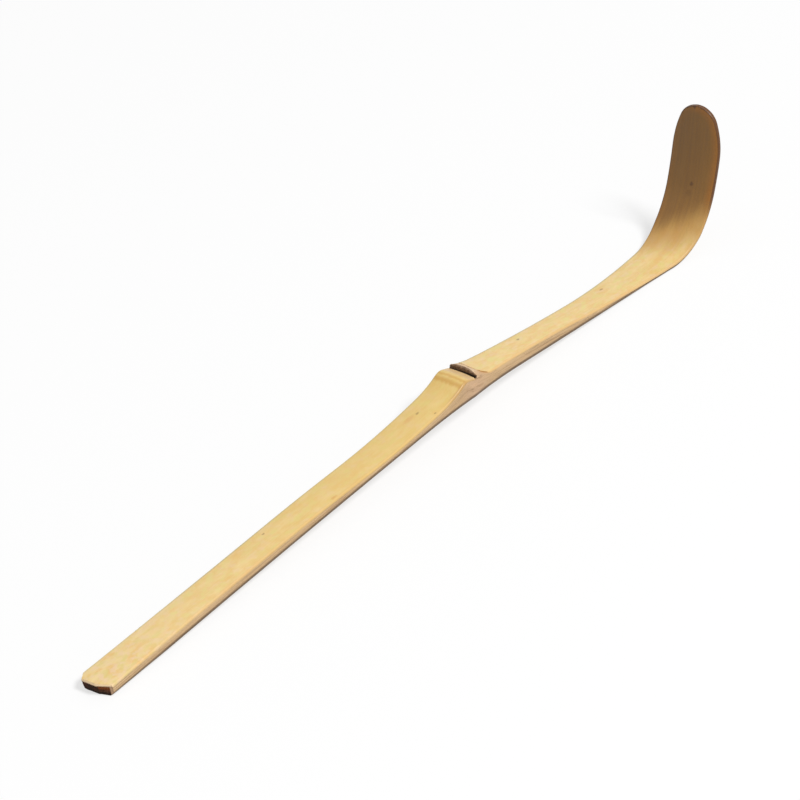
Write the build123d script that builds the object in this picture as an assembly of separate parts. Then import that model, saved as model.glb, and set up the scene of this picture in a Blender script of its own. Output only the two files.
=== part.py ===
"""Tea scoop carved from one strip of bamboo.

The strip runs along x from the butt to the tip, skin side up, and is even about y = 0. It
stands on the back edge of the butt and on the underside of the bend, with the node clear of
the table between them. Lengths are in millimetres and angles in degrees.
"""

import os
from math import asin, atan2, cos, degrees, hypot, radians, sin, sqrt, tan

from build123d import *

# The culm that the strip was split from
culm_radius = 30.0
skin_thickness = 0.4

# Side view of the handle, along the skin from the butt to the node
butt_thickness = 2.5
butt_undercut = 1.1
handle_rise = 2.6
handle_run = 49.2
hump_radius = 500.0
hump_turn = 2.3
hollow_radius = 175.0
hollow_turn = 7.9
upsweep_radius = 20.0
upsweep_turn = 17.8
crest_radius = 2.8
shelf_fall = 19.0
shelf_run = 2.12

# The scars at the node, and the arch under it
scar_width = 0.55
scar_depth = 0.5
cork_thickness = 0.6
lip_rise = 0.6
lip_length = 1.1
lip_depth = 1.2
lip_arc_radius = 4.4
arch_radius = 170.0
diaphragm_length = 2.6
diaphragm_depth = 0.6

# Side view of the stem, along the skin from the node to the bend
shoulder_fall = 27.0
shoulder_radius = 16.0
stem_run = 31.0
sweep_radius = 210.0
back_sweep_radius = 430.0

# Side view of the bend and the tip
blade_thickness = 1.25
bend_radius = 10.8
bend_turn = 52.0
lift_radius = 17.0
lift_turn = 24.0
easing_radius = 60.0
easing_turn = 10.0
tip_height = 28.4

# Half widths in plan, from the butt to the bend
butt_face_half = 1.4
butt_corner = 1.6
butt_half = 3.1
grip_place = 49.0
grip_half = 2.84
node_half = 3.2
neck_place = 30.0
neck_half = 2.55
bend_half = 4.2
bend_spread = 6.6

# Outline of the tip, seen from the butt
tip_half = 5.28
tip_root_ease = 0.75
tip_shoulder_radius = 20.0
tip_nose_ease = 1.05

# Bevel along both edges of the back
back_bevel = 0.35

# Room round the finished strip for the blocks that it is cut from
stock_half = 9.0
stock_margin = 0.4
crust_share = 0.8
spare = 2.0
headroom = 60.0


def follow(start, heading, steps):
    """Runs of (length, 0) and arcs of (radius, turn), each leaving in line with the last."""
    edges = []
    here = Vector(*start)
    for size, turn in steps:
        ahead = Vector(cos(radians(heading)), sin(radians(heading)))
        if turn:
            edge = JernArc(start=here, tangent=ahead, radius=size, arc_size=turn)
        else:
            edge = Line(here, here + ahead * size)
        edges.append(edge)
        here = edge @ 1
        heading += turn
    return edges


def side_view(edges):
    """Stand a drawing of x and height up in the middle plane of the strip."""
    return Plane.XZ * Wire(edges)


def prism(edges, plane, reach):
    """Solid with a closed drawing as its outline, reaching as far to both sides."""
    return extrude(plane * make_face(edges), amount=reach, both=True)


def slab(x_from, x_to):
    """Everything between two cross-cuts of the strip."""
    middle = (x_from + x_to) / 2
    return Pos(middle, 0, 0) * Box(x_to - x_from, 2 * stock_half, 2 * headroom)


def crowned_depth(depth, across):
    """Depth under the top of the crown that a layer of the culm reaches at one half width."""
    return culm_radius - sqrt((culm_radius - depth) ** 2 - across**2)


def stock(path, top_depth, base_depth):
    """Bar crowned like the culm along a skin line, from top_depth to base_depth under it."""
    edge_depth = crowned_depth(top_depth, stock_half)
    crown = ThreePointArc((-stock_half, -edge_depth), (0, -top_depth), (stock_half, -edge_depth))
    base = Polyline(crown @ 1, (stock_half, -base_depth), (-stock_half, -base_depth), crown @ 0)
    across = Plane(origin=path @ 0, x_dir=(0, 1, 0), z_dir=path % 0)
    return sweep(across * make_face([crown, *base.edges()]), path=path)


def bevelled(strip, facing, bevel):
    """Break the edges between the sides of a strip and the back that faces one way."""
    back = strip.faces().filter_by(lambda face: face.normal_at().dot(facing) > 0.5)
    sides = strip.faces().filter_by(lambda face: abs(face.normal_at().Y) > 0.5).edges()
    edges = [edge for edge in back.edges() if any(edge.is_same(side) for side in sides)]
    return chamfer(edges, bevel)


# Skin line of the handle, up to the end of the shelf that falls behind the crest
crest_turn = handle_rise - hump_turn + hollow_turn + upsweep_turn + shelf_fall
handle_line = follow(
    (0, butt_thickness),
    handle_rise,
    [
        (handle_run, 0),
        (hump_radius, -hump_turn),
        (hollow_radius, hollow_turn),
        (upsweep_radius, upsweep_turn),
        (crest_radius, -crest_turn),
        (shelf_run, 0),
    ],
)
ridge_x = (handle_line[3] @ 0).X
node_x = (handle_line[-1] @ 1).X
shelf_z = (handle_line[-1] @ 1).Y

# Skin line of the stem, which starts above the shelf, on the lip of the scar. Its fall is the
# one that brings the bend down to the table.
shoulder_x = node_x + scar_width
lip_z = shelf_z + lip_rise
fall_reach = sweep_radius - shoulder_radius
fall_level = lip_z - blade_thickness - sweep_radius
fall_level += shoulder_radius * cos(radians(shoulder_fall))
stem_fall = atan2(fall_reach, stem_run) + asin(fall_level / hypot(stem_run, fall_reach))
stem_line = follow(
    (shoulder_x, lip_z),
    -shoulder_fall,
    [
        (shoulder_radius, shoulder_fall - degrees(stem_fall)),
        (stem_run, 0),
        (sweep_radius, degrees(stem_fall)),
    ],
)
node_end_x = (stem_line[0] @ 1).X
bend_x = (stem_line[-1] @ 1).X

# Skin line of the tip, carried on past the height at which its outline ends
tip_curves = follow(
    (bend_x, blade_thickness),
    0,
    [(bend_radius, bend_turn), (lift_radius, lift_turn), (easing_radius, easing_turn)],
)
curve_top = tip_curves[-1] @ 1
tip_lean = bend_turn + lift_turn + easing_turn
tip_run = (tip_height - curve_top.Y) / sin(radians(tip_lean)) + spare
tip_line = [*tip_curves, *follow(curve_top, tip_lean, [(tip_run, 0)])]
tip_x = (tip_line[-1] @ 1).X + blade_thickness

# Back of the handle, then an arch under the node that runs into the hollow back of the stem.
# The middle of the hollow is placed along and above the back of the handle to find the arch.
handle_back_z = node_x * tan(radians(handle_rise))
handle_slope = atan2(handle_back_z, node_x - butt_undercut)
bend_reach = bend_x - butt_undercut
hollow_along = bend_reach * cos(handle_slope) + back_sweep_radius * sin(handle_slope)
hollow_above = back_sweep_radius * cos(handle_slope) - bend_reach * sin(handle_slope)
arch_to_hollow = arch_radius + back_sweep_radius
arch_along = hollow_along - sqrt(arch_to_hollow**2 - (arch_radius + hollow_above) ** 2)
arch_x = butt_undercut + arch_along * cos(handle_slope) + arch_radius * sin(handle_slope)
arch_z = arch_along * sin(handle_slope) - arch_radius * cos(handle_slope)
back_fall = atan2(bend_x - arch_x, back_sweep_radius - arch_z)


def arch_heading(x):
    """Slope of the arch at one distance from the butt."""
    return asin((arch_x - x) / arch_radius)


# Side of the handle, with a butt cut so that its top edge overhangs
butt_slope = butt_undercut / butt_thickness
handle_back = follow(
    (butt_undercut, 0),
    degrees(handle_slope),
    [
        (arch_along, 0),
        (arch_radius, degrees(arch_heading(node_x) - handle_slope)),
    ],
)
handle_frame = Polyline(
    handle_back[-1] @ 1,
    (node_x, headroom),
    (butt_undercut - butt_slope * headroom, headroom),
    (butt_undercut, 0),
)
handle_side = [*handle_back, *handle_frame.edges()]

# Side of the stem
back_start_x = node_x - spare
back_start = arch_heading(back_start_x)
stem_back = follow(
    (back_start_x, arch_z + arch_radius * cos(back_start)),
    degrees(back_start),
    [
        (arch_radius, -degrees(back_start + back_fall)),
        (back_sweep_radius, degrees(back_fall)),
    ],
)
stem_frame = Polyline(
    stem_back[-1] @ 1, (bend_x, headroom), (back_start_x, headroom), stem_back[0] @ 0
)
stem_side = [*stem_back, *stem_frame.edges()]

# Outline of the tip from the front: bowed sides, round shoulders and a blunt nose
root_half = bend_half + tip_root_ease
nose_radius = tip_half - tip_nose_ease
shoulder_inset = tip_shoulder_radius - tip_half
shoulder_drop = sqrt((tip_shoulder_radius - nose_radius) ** 2 - shoulder_inset**2)
shoulder_turn = degrees(atan2(shoulder_drop, shoulder_inset))
shoulder_z = tip_height - nose_radius - shoulder_drop
tip_top = follow(
    (tip_half, shoulder_z),
    90,
    [
        (tip_shoulder_radius, shoulder_turn),
        (nose_radius, 180 - 2 * shoulder_turn),
        (tip_shoulder_radius, shoulder_turn),
    ],
)
tip_sides = [
    TangentArc((side * tip_half, shoulder_z), (side * root_half, 0), tangent=(0, -1))
    for side in (-1, 1)
]
tip_skirt = Polyline(
    (-root_half, 0), (-root_half, -spare), (root_half, -spare), (root_half, 0)
).edges()
tip_front = [*tip_top, *tip_sides, *tip_skirt]


def plan_side(side):
    """One long side in plan, from the corner cut of the butt to past the tip."""
    end_x = tip_x + spare
    end_half = bend_half + (end_x - bend_x) * tan(radians(bend_spread))
    corner = Line((0, side * butt_face_half), (butt_corner, side * butt_half))
    grip = ThreePointArc(corner @ 1, (grip_place, side * grip_half), (node_x, side * node_half))
    neck = (node_x + neck_place, side * neck_half)
    stem = ThreePointArc(grip @ 1, neck, (bend_x, side * bend_half))
    return [corner, grip, stem, Line(stem @ 1, (end_x, side * end_half))]


# Plan outline, with three strokes of the knife across the butt
left, right = plan_side(1), plan_side(-1)
butt_face = Line(left[0] @ 0, right[0] @ 0)
plan_end = Line(left[-1] @ 1, right[-1] @ 1)
plan_block = prism([*left, *right, butt_face, plan_end], Plane.XY, headroom)

# Under the tight crest the bar of the handle is thin, and a plain block fills the wood below it
crust_depth = crust_share * crest_radius
handle_reach = [*handle_line, *follow(handle_line[-1] @ 1, -shelf_fall, [(spare, 0)])]
handle_path = side_view(handle_reach)
block_top = [Pos(0, -crust_depth / 2) * edge for edge in handle_reach]
block_start, block_end = block_top[0] @ 0, block_top[-1] @ 1
block_frame = Polyline(block_end, (block_end.X, -spare), (block_start.X, -spare), block_start)
handle_block = prism([*block_top, *block_frame.edges()], Plane.XZ, stock_half)

# The strip in three lengths, trimmed to its plan and side view
stock_depth = lip_z - handle_back_z + stock_margin
handle_strip = (stock(handle_path, 0, crust_depth) + handle_block) & plan_block
handle_strip &= prism(handle_side, Plane.XZ, stock_half)
handle_strip = bevelled(handle_strip, Vector(0, 0, -1), back_bevel)

lead_in = follow((shoulder_x, lip_z), 180 - shoulder_fall, [(spare, 0)])[0]
stem_path = side_view([Line(lead_in @ 1, lead_in @ 0), *stem_line])
stem_strip = stock(stem_path, 0, stock_depth) & plan_block & slab(node_x, bend_x)
stem_strip &= prism(stem_side, Plane.XZ, stock_half)
stem_strip = bevelled(stem_strip, Vector(0, 0, -1), back_bevel)

# The thin tip is bevelled over no more than half of the wood at its widest sides
tip_wood_edge = blade_thickness - crowned_depth(skin_thickness, tip_half)
tip_bevel = min(back_bevel, tip_wood_edge / 2)
tip_path = side_view(tip_line)
tip_strip = stock(tip_path, 0, blade_thickness) & plan_block
tip_strip &= prism(tip_front, Plane.YZ, tip_x + spare)
tip_strip = bevelled(tip_strip, Vector(1, 0, -1).normalized(), tip_bevel)

# Wood lies under the skin by the skin's thickness
handle_core = stock(handle_path, skin_thickness, crust_depth) + handle_block
stem_core = stock(stem_path, skin_thickness, stock_depth)
tip_core = stock(tip_path, skin_thickness, blade_thickness + spare)

# Handle
handle_span = slab(-spare, ridge_x)
handle_skin = (handle_strip & handle_span) - handle_core
handle_wood = handle_strip & handle_span & handle_core

# Node: the ridge, then the groove with cork on its floor, then a crescent with pointed ends
ridge_span = slab(ridge_x, node_x)
node_ridge = (handle_strip & ridge_span) - handle_core

floor_z = shelf_z - scar_depth
floor_path = side_view([Line((node_x - spare, floor_z), (shoulder_x + spare, floor_z))])
groove_base = stem_strip & slab(node_x, shoulder_x) & stock(floor_path, 0, stock_depth)
cork_base = stock(floor_path, cork_thickness, stock_depth)
sheath_scar = groove_base - cork_base

stem_span = slab(shoulder_x, bend_x)
lip_round = Pos(shoulder_x + lip_length - lip_arc_radius, 0, 0)
lip_block = stem_span & lip_round * Cylinder(lip_arc_radius, 2 * headroom)
scar_lip = (stem_strip & lip_block) - stock(stem_path, lip_depth, stock_depth)

# Stem
stem_skin = (stem_strip & stem_span) - stem_core - lip_block
stem_wood = stem_strip & slab(node_end_x, bend_x) & stem_core

# Wood of the node, with what is left of the culm's inner wall planed level with its arch
node_body = (handle_strip & ridge_span & handle_core) + (groove_base & cork_base)
node_body += (stem_strip & slab(shoulder_x, node_end_x)) - stem_skin - scar_lip
arch_axis = Pos(arch_x, 0, arch_z) * Rot(90, 0, 0)
wall_bar = arch_axis * Cylinder(arch_radius + diaphragm_depth, 2 * stock_half)
wall_span = slab(node_x - diaphragm_length / 2, node_x + diaphragm_length / 2)
diaphragm_scar = node_body & wall_bar & wall_span
node_wood = node_body - diaphragm_scar

# Tip
tip_skin = tip_strip - tip_core
tip_wood = tip_strip & tip_core

pieces = {
    "handle_skin": handle_skin,
    "handle_wood": handle_wood,
    "node_ridge": node_ridge,
    "node_wood": node_wood,
    "sheath_scar": sheath_scar,
    "scar_lip": scar_lip,
    "diaphragm_scar": diaphragm_scar,
    "stem_skin": stem_skin,
    "stem_wood": stem_wood,
    "tip_skin": tip_skin,
    "tip_wood": tip_wood,
}

# The origin is on the table, under the middle of the scoop
box = Compound([solid for piece in pieces.values() for solid in piece.solids()]).bounding_box()
place = Pos(-(box.min.X + box.max.X) / 2, 0, -box.min.Z)
os.makedirs("parts", exist_ok=True)
for name, piece in pieces.items():
    export_step(place * piece, f"parts/{name}.step")

print("length", box.size.X, "width", box.size.Y, "height", box.size.Z)
print("from butt: ridge", ridge_x, "scar", node_x, "bend", bend_x, "arch", arch_x)
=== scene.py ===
# %% [markdown]
# # A bamboo tea scoop
# The scoop is one strip of bamboo, planed, bent over heat and cut to outline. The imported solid
# model is loaded first and stays fixed. Everything after this only dresses it: each of its
# tissues gets a finer mesh and a material of its own, in the same place and at the same size.

# %% Load the frame
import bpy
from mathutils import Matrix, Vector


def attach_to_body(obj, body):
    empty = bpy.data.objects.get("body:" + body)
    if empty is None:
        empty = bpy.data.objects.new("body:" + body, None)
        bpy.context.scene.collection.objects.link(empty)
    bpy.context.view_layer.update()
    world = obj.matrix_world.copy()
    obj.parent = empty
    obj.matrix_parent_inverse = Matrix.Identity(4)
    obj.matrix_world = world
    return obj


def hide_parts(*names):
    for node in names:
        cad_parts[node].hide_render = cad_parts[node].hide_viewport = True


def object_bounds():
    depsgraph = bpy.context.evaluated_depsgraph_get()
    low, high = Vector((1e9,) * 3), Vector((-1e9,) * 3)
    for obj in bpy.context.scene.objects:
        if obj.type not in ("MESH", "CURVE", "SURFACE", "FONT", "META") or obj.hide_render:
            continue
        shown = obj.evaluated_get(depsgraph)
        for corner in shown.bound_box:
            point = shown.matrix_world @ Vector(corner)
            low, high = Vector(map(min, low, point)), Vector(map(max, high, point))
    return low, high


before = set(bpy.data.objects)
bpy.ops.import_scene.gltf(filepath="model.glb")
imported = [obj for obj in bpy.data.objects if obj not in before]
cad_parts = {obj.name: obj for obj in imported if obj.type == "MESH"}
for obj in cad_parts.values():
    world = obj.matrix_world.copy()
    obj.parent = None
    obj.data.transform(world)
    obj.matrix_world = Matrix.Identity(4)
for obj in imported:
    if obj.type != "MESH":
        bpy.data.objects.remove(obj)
cad_low, cad_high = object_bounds()
print("frame nodes:", sorted(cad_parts))

# %% [markdown]
# ## Units
# The strip is drawn as its maker would draw it: in millimetres, measured from the butt. Blender
# works in metres in the frame of the solid model, so points are moved and scaled once, at the
# very end, when a mesh is made.

# %% Modules and units
import math
from collections import namedtuple
from functools import partial

import bmesh
import bpy
import numpy as np
from mathutils import Vector

mm = 0.001
butt_x = cad_low[0] / mm
print("butt lies at x =", round(butt_x, 3), "mm in the frame")

# %% [markdown]
# ## The skin line
# Seen from the side, the top of the strip is a chain of straight runs and arcs, each leaving in
# line with the last. A curve object could hold it, but every section of the strip also needs the
# heading and the length walked so far, so the chain is walked step by step in code. The sizes are
# those that the solid model was built from, so the finer shapes land where it is.

# %% Walk a chain of runs and arcs
Line = namedtuple("Line", "x z heading along")


def trace(start, heading, steps, spacing, along=0.0):
    """Points along runs of (length, 0) and arcs of (radius, turn), each in line with the last."""
    x, z = start
    heading = math.radians(heading)
    rows = []
    for size, turn in steps:
        turn = math.radians(turn)
        length = size * abs(turn) if turn else size
        part = np.linspace(0, 1, max(2, math.ceil(length / spacing)) + 1)
        angle = heading + turn * part
        if turn:
            reach = math.copysign(size, turn)
            step_x = reach * (np.sin(angle) - math.sin(heading))
            step_z = reach * (math.cos(heading) - np.cos(angle))
        else:
            step_x = size * part * math.cos(heading)
            step_z = size * part * math.sin(heading)
        rows.append(np.stack([x + step_x, z + step_z, angle, along + length * part]))
        x, z, heading, along = rows[-1][:, -1]
    return Line(*np.concatenate([rows[0], *[row[:, 1:] for row in rows[1:]]], axis=1))


def carry_on(line, steps, spacing):
    """A further stretch of the skin line, from where another one ends."""
    start = (line.x[-1], line.z[-1])
    return trace(start, math.degrees(line.heading[-1]), steps, spacing, line.along[-1])


def joined(*lines):
    """Several stretches as one, with the points where they meet kept once."""
    parts = [lines[0], *[Line(*[values[1:] for values in line]) for line in lines[1:]]]
    return Line(*[np.concatenate(values) for values in zip(*parts)])


quarter = trace((0, 0), 0, [(10, 90)], 1)
print("a quarter turn of radius 10 ends at", round(quarter.x[-1], 3), round(quarter.z[-1], 3))

# %% Handle, up to the shelf of the node
butt_thickness = 2.5
handle_rise = 2.6
handle_run = 49.2
hump_radius, hump_turn = 500.0, 2.3
hollow_radius, hollow_turn = 175.0, 7.9
upsweep_radius, upsweep_turn = 20.0, 17.8
crest_radius = 2.8
shelf_fall, shelf_run = 19.0, 2.12
long_spacing, ridge_spacing = 0.4, 0.15

crest_turn = handle_rise - hump_turn + hollow_turn + upsweep_turn + shelf_fall
handle_steps = [(handle_run, 0), (hump_radius, -hump_turn), (hollow_radius, hollow_turn)]
handle_line = trace((0, butt_thickness), handle_rise, handle_steps, long_spacing)
ridge_steps = [(upsweep_radius, upsweep_turn), (crest_radius, -crest_turn), (shelf_run, 0)]
ridge_line = carry_on(handle_line, ridge_steps, ridge_spacing)
ridge_x, node_x, shelf_z = handle_line.x[-1], ridge_line.x[-1], ridge_line.z[-1]
print("ridge starts at", round(ridge_x, 2), "and the scar at", round(node_x, 2), "mm from the butt")

# %% Stem, from the scar of the node to the bend
scar_width = 0.55
lip_rise = 0.6
shoulder_fall, shoulder_radius = 27.0, 16.0
stem_run = 31.0
sweep_radius = 210.0
blade_thickness = 1.25
fine_spacing = 0.05

shoulder_x, lip_z = node_x + scar_width, shelf_z + lip_rise
fall_reach = sweep_radius - shoulder_radius
fall_level = lip_z - blade_thickness - sweep_radius
fall_level += shoulder_radius * math.cos(math.radians(shoulder_fall))
stem_fall = math.asin(fall_level / math.hypot(stem_run, fall_reach))
stem_fall += math.atan2(fall_reach, stem_run)
stem_fall_degrees = math.degrees(stem_fall)
scar_along = ridge_line.along[-1]
shoulder_along = scar_along + scar_width
shoulder_steps = [(shoulder_radius, shoulder_fall - stem_fall_degrees)]
shoulder_start = (shoulder_x, lip_z)
shoulder_line = trace(shoulder_start, -shoulder_fall, shoulder_steps, fine_spacing, shoulder_along)
stem_steps = [(stem_run, 0), (sweep_radius, stem_fall_degrees)]
stem_line = carry_on(shoulder_line, stem_steps, long_spacing)
whole_stem = joined(shoulder_line, stem_line)
bend_x = stem_line.x[-1]
print("stem falls", round(stem_fall_degrees, 2), "degrees to the bend at", round(bend_x, 2), "mm")

# %% Tip, up to its full height
bend_radius, bend_turn = 10.8, 52.0
lift_radius, lift_turn = 17.0, 24.0
easing_radius, easing_turn = 60.0, 10.0
tip_height = 28.4

tip_curves = [(bend_radius, bend_turn), (lift_radius, lift_turn), (easing_radius, easing_turn)]
tip_lean = math.radians(bend_turn + lift_turn + easing_turn)
tip_run = (tip_height - carry_on(stem_line, tip_curves, fine_spacing).z[-1]) / math.sin(tip_lean)
tip_line = carry_on(stem_line, [*tip_curves, (tip_run, 0)], fine_spacing)
print("the strip is", round(tip_line.along[-1], 1), "mm long along its skin")

# %% [markdown]
# ## Back line and outline
# Under the skin line lies the back: a flat plane under the handle, one long arch under the node,
# and a long hollow under the stem. In plan the sides are slim arcs. All of it is written
# as functions of the distance from the butt, so that any section can ask for its own size.

# %% Back of the strip
butt_undercut = 1.1
back_sweep_radius = 430.0
arch_radius = 170.0

handle_back_z = node_x * math.tan(math.radians(handle_rise))
handle_slope = math.atan2(handle_back_z, node_x - butt_undercut)
bend_reach = bend_x - butt_undercut
hollow_along = bend_reach * math.cos(handle_slope) + back_sweep_radius * math.sin(handle_slope)
hollow_above = back_sweep_radius * math.cos(handle_slope) - bend_reach * math.sin(handle_slope)
arch_to_hollow = arch_radius + back_sweep_radius
arch_along = hollow_along - math.sqrt(arch_to_hollow**2 - (arch_radius + hollow_above) ** 2)
arch_start_x = butt_undercut + arch_along * math.cos(handle_slope)
arch_x = arch_start_x + arch_radius * math.sin(handle_slope)
arch_z = arch_along * math.sin(handle_slope) - arch_radius * math.cos(handle_slope)
arch_end_x = arch_x + arch_radius * (bend_x - arch_x) / arch_to_hollow


def back_height(x):
    """Height of the back of the handle and the stem above the table."""
    handle = (x - butt_undercut) * math.tan(handle_slope)
    arch = arch_z + np.sqrt(np.maximum(arch_radius**2 - (x - arch_x) ** 2, 0))
    reach = np.clip(bend_x - x, 0, bend_x - arch_end_x)
    hollow = back_sweep_radius - np.sqrt(back_sweep_radius**2 - reach**2)
    return np.select([x < arch_start_x, x < arch_end_x], [handle, arch], hollow)


print("the arch runs from", round(arch_start_x, 1), "to", round(arch_end_x, 1), "mm")

# %% Half widths in plan
butt_half = 3.1
grip_place, grip_half = 49.0, 2.84
node_half = 3.2
neck_place, neck_half = 30.0, 2.55
bend_half, bend_spread = 4.2, 6.6
butt_corner = 1.6


def bowed(start, middle, end):
    """Half width along the arc through three places, as a function of the distance from the butt."""
    places = np.array([start, middle, end])
    squares = np.sum(places**2, axis=1)
    spans = 2 * (places[:-1] - places[1:])
    centre_x, centre_y = np.linalg.solve(spans, squares[:-1] - squares[1:])
    radius = math.hypot(start[0] - centre_x, start[1] - centre_y)
    side = math.copysign(1, middle[1] - centre_y)
    return lambda x: centre_y + side * np.sqrt(np.maximum(radius**2 - (x - centre_x) ** 2, 0))


grip_arc = bowed((butt_corner, butt_half), (grip_place, grip_half), (node_x, node_half))
stem_arc = bowed((node_x, node_half), (node_x + neck_place, neck_half), (bend_x, bend_half))


def plan_half(x):
    """Half width of the strip in plan."""
    grip = grip_arc(np.maximum(x, butt_corner))
    spread = bend_half + (x - bend_x) * math.tan(math.radians(bend_spread))
    return np.where(x < node_x, grip, np.where(x < bend_x, stem_arc(x), spread))


print("half widths: grip", grip_half, "node", node_half, "bend", bend_half)

# %% Outline of the tip, seen from the butt
tip_half, tip_root_ease = 5.28, 0.75
tip_shoulder_radius, tip_nose_ease = 20.0, 1.05

root_half = bend_half + tip_root_ease
nose_radius = tip_half - tip_nose_ease
shoulder_inset = tip_shoulder_radius - tip_half
shoulder_drop = math.sqrt((tip_shoulder_radius - nose_radius) ** 2 - shoulder_inset**2)
nose_z = tip_height - nose_radius
shoulder_z = nose_z - shoulder_drop
shoulder_top = shoulder_z + tip_shoulder_radius * shoulder_drop / (tip_shoulder_radius - nose_radius)
side_ease = tip_half - root_half
side_radius = (side_ease**2 + shoulder_z**2) / (2 * side_ease)


def front_half(z):
    """Half width of the tip at one height: bowed sides, round shoulders, blunt nose."""
    def arc(radius, middle, centre):
        return middle - radius + np.sqrt(np.maximum(radius**2 - (z - centre) ** 2, 0))

    side = arc(side_radius, tip_half, shoulder_z)
    shoulder = arc(tip_shoulder_radius, tip_half, shoulder_z)
    nose = arc(nose_radius, nose_radius, nose_z)
    return np.select([z < shoulder_z, z < shoulder_top], [side, shoulder], nose)


print("the tip is", 2 * tip_half, "mm wide with a nose of radius", round(nose_radius, 2), "mm")

# %% [markdown]
# ## Sections of the strip
# A strip of bamboo is crowned like the culm it was split from. A section is a ring of points,
# each given by how far across the strip it is and how deep under the skin line. The same two
# numbers, with the length along the strip, later steer the grain of the materials, so that the
# fibres follow the bend and the swelling of the node as they do in the real strip. Every ring
# has the same layout: over the top, down one side, back underneath, up the other side.

# %% Pieces of a ring
culm_radius = 30.0
skin_thickness = 0.4
top_points = 40
side_points = 20


def crown(across):
    """How far the round of the culm falls away to the sides."""
    return culm_radius - np.sqrt(culm_radius**2 - across**2)


def level(start, end, depth):
    """Points straight across the strip at one depth."""
    return np.stack([np.linspace(start, end, top_points), np.full(top_points, depth)], axis=1)


def eased(corners, count=side_points):
    """Points between the first and last of some corners, with the corners taken off a little."""
    path = np.array(corners)
    walked = np.concatenate([[0], np.cumsum(np.linalg.norm(np.diff(path, axis=0), axis=1))])
    at = np.linspace(0, walked[-1], count + 2)
    points = np.stack([np.interp(at, walked, path[:, axis]) for axis in (0, 1)], axis=1)
    return (points[:-2] + 2 * points[1:-1] + points[2:]) / 4


def rounded(start, end):
    """Points on a quarter of an ellipse that leaves the top level and comes down plumb."""
    angle = np.linspace(0, math.pi / 2, side_points + 2)[1:-1]
    return np.stack([
        start[0] + (end[0] - start[0]) * np.sin(angle),
        end[1] + (start[1] - end[1]) * np.cos(angle),
    ], axis=1)


print("a ring has", 2 * (top_points + side_points), "points")

# %% Rings of skin and wood
near_round, far_round = 0.28, 0.2


def skin_ring(near, far, top=0.0, near_soft=near_round, far_soft=far_round):
    """Section of the skin between its near edge (-y) and its far edge (+y)."""
    near_top = -near + min(near_soft, 0.5 * near)
    far_top = far - min(far_soft, 0.5 * far)
    ring = np.concatenate([
        level(near_top, far_top, top),
        rounded((far_top, top), (far, skin_thickness)),
        level(far, -near, skin_thickness),
        rounded((near_top, top), (-near, skin_thickness))[::-1],
    ])
    ring[:, 1] += crown(ring[:, 0])
    return ring


def wood_ring(near, far, near_top, cover, facet, back, bevel, recess=None, far_bevel=None):
    """Section of the wood: crowned top under its cover, planed sides, flat back with bevels."""
    across = np.linspace(-near_top, far, top_points)
    top = np.stack([across, cover(across) + crown(across)], axis=1)
    under = level(far - (far_bevel or bevel), bevel - near, back)
    if recess is not None:
        under[:, 1] -= recess(under[:, 0])
    near_side = [top[0], (-near, min(facet, back - bevel)), (-near, back - bevel), under[-1]]
    return np.concatenate([
        top,
        eased([top[-1], (far, back - bevel), under[0]]),
        under,
        eased(near_side)[::-1],
    ])


print("skin is", skin_thickness, "mm thick on wood")

# %% [markdown]
# ## From sections to a solid
# Geometry Nodes turn the rings into a closed solid. The tree makes a flat grid with one row for
# each section and moves every grid point to its ring point, which is the rule that all pieces of
# the strip share. It closes the seam, takes a little off along the fibres so that the knife work
# shows in the outline, and keeps edges sharper than an angle crisp. Building each mesh by hand
# would work too, but then a dozen pieces would repeat the same bookkeeping.


# %% Helpers for node trees
def add(tree, kind, inputs=None, **settings):
    """A node with its settings, and inputs that are values or other nodes' outputs."""
    node = tree.nodes.new(kind)
    for name, value in settings.items():
        setattr(node, name, value)
    for key, value in (inputs or {}).items():
        if isinstance(value, bpy.types.NodeSocket):
            tree.links.new(value, node.inputs[key])
        else:
            node.inputs[key].default_value = value
    return node


def math_node(tree, operation, first, second=0.0, third=0.0):
    """Output of one sum on values."""
    inputs = {0: first, 1: second, 2: third}
    return add(tree, "ShaderNodeMath", inputs, operation=operation).outputs[0]


def vector_node(tree, operation, first, second=(0, 0, 0)):
    """Output of one sum on vectors."""
    return add(tree, "ShaderNodeVectorMath", {0: first, 1: second}, operation=operation).outputs[0]


def socket(tree, name, kind, direction="INPUT", default=None):
    """A named socket on the outside of a tree."""
    made = tree.interface.new_socket(name, in_out=direction, socket_type="NodeSocket" + kind)
    if default is not None:
        made.default_value = default
    return made


def attribute_field(tree, name, kind="FLOAT"):
    """Reads an attribute of the mesh inside a geometry tree."""
    node = add(tree, "GeometryNodeInputNamedAttribute", {"Name": name}, data_type=kind)
    return node.outputs["Attribute"]


print("node trees are made by Blender", bpy.app.version_string)

# %% The grid that takes on the rings
ring_fields = (("grain", "FLOAT_VECTOR"), ("edge", "FLOAT"), ("end", "FLOAT"))


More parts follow.
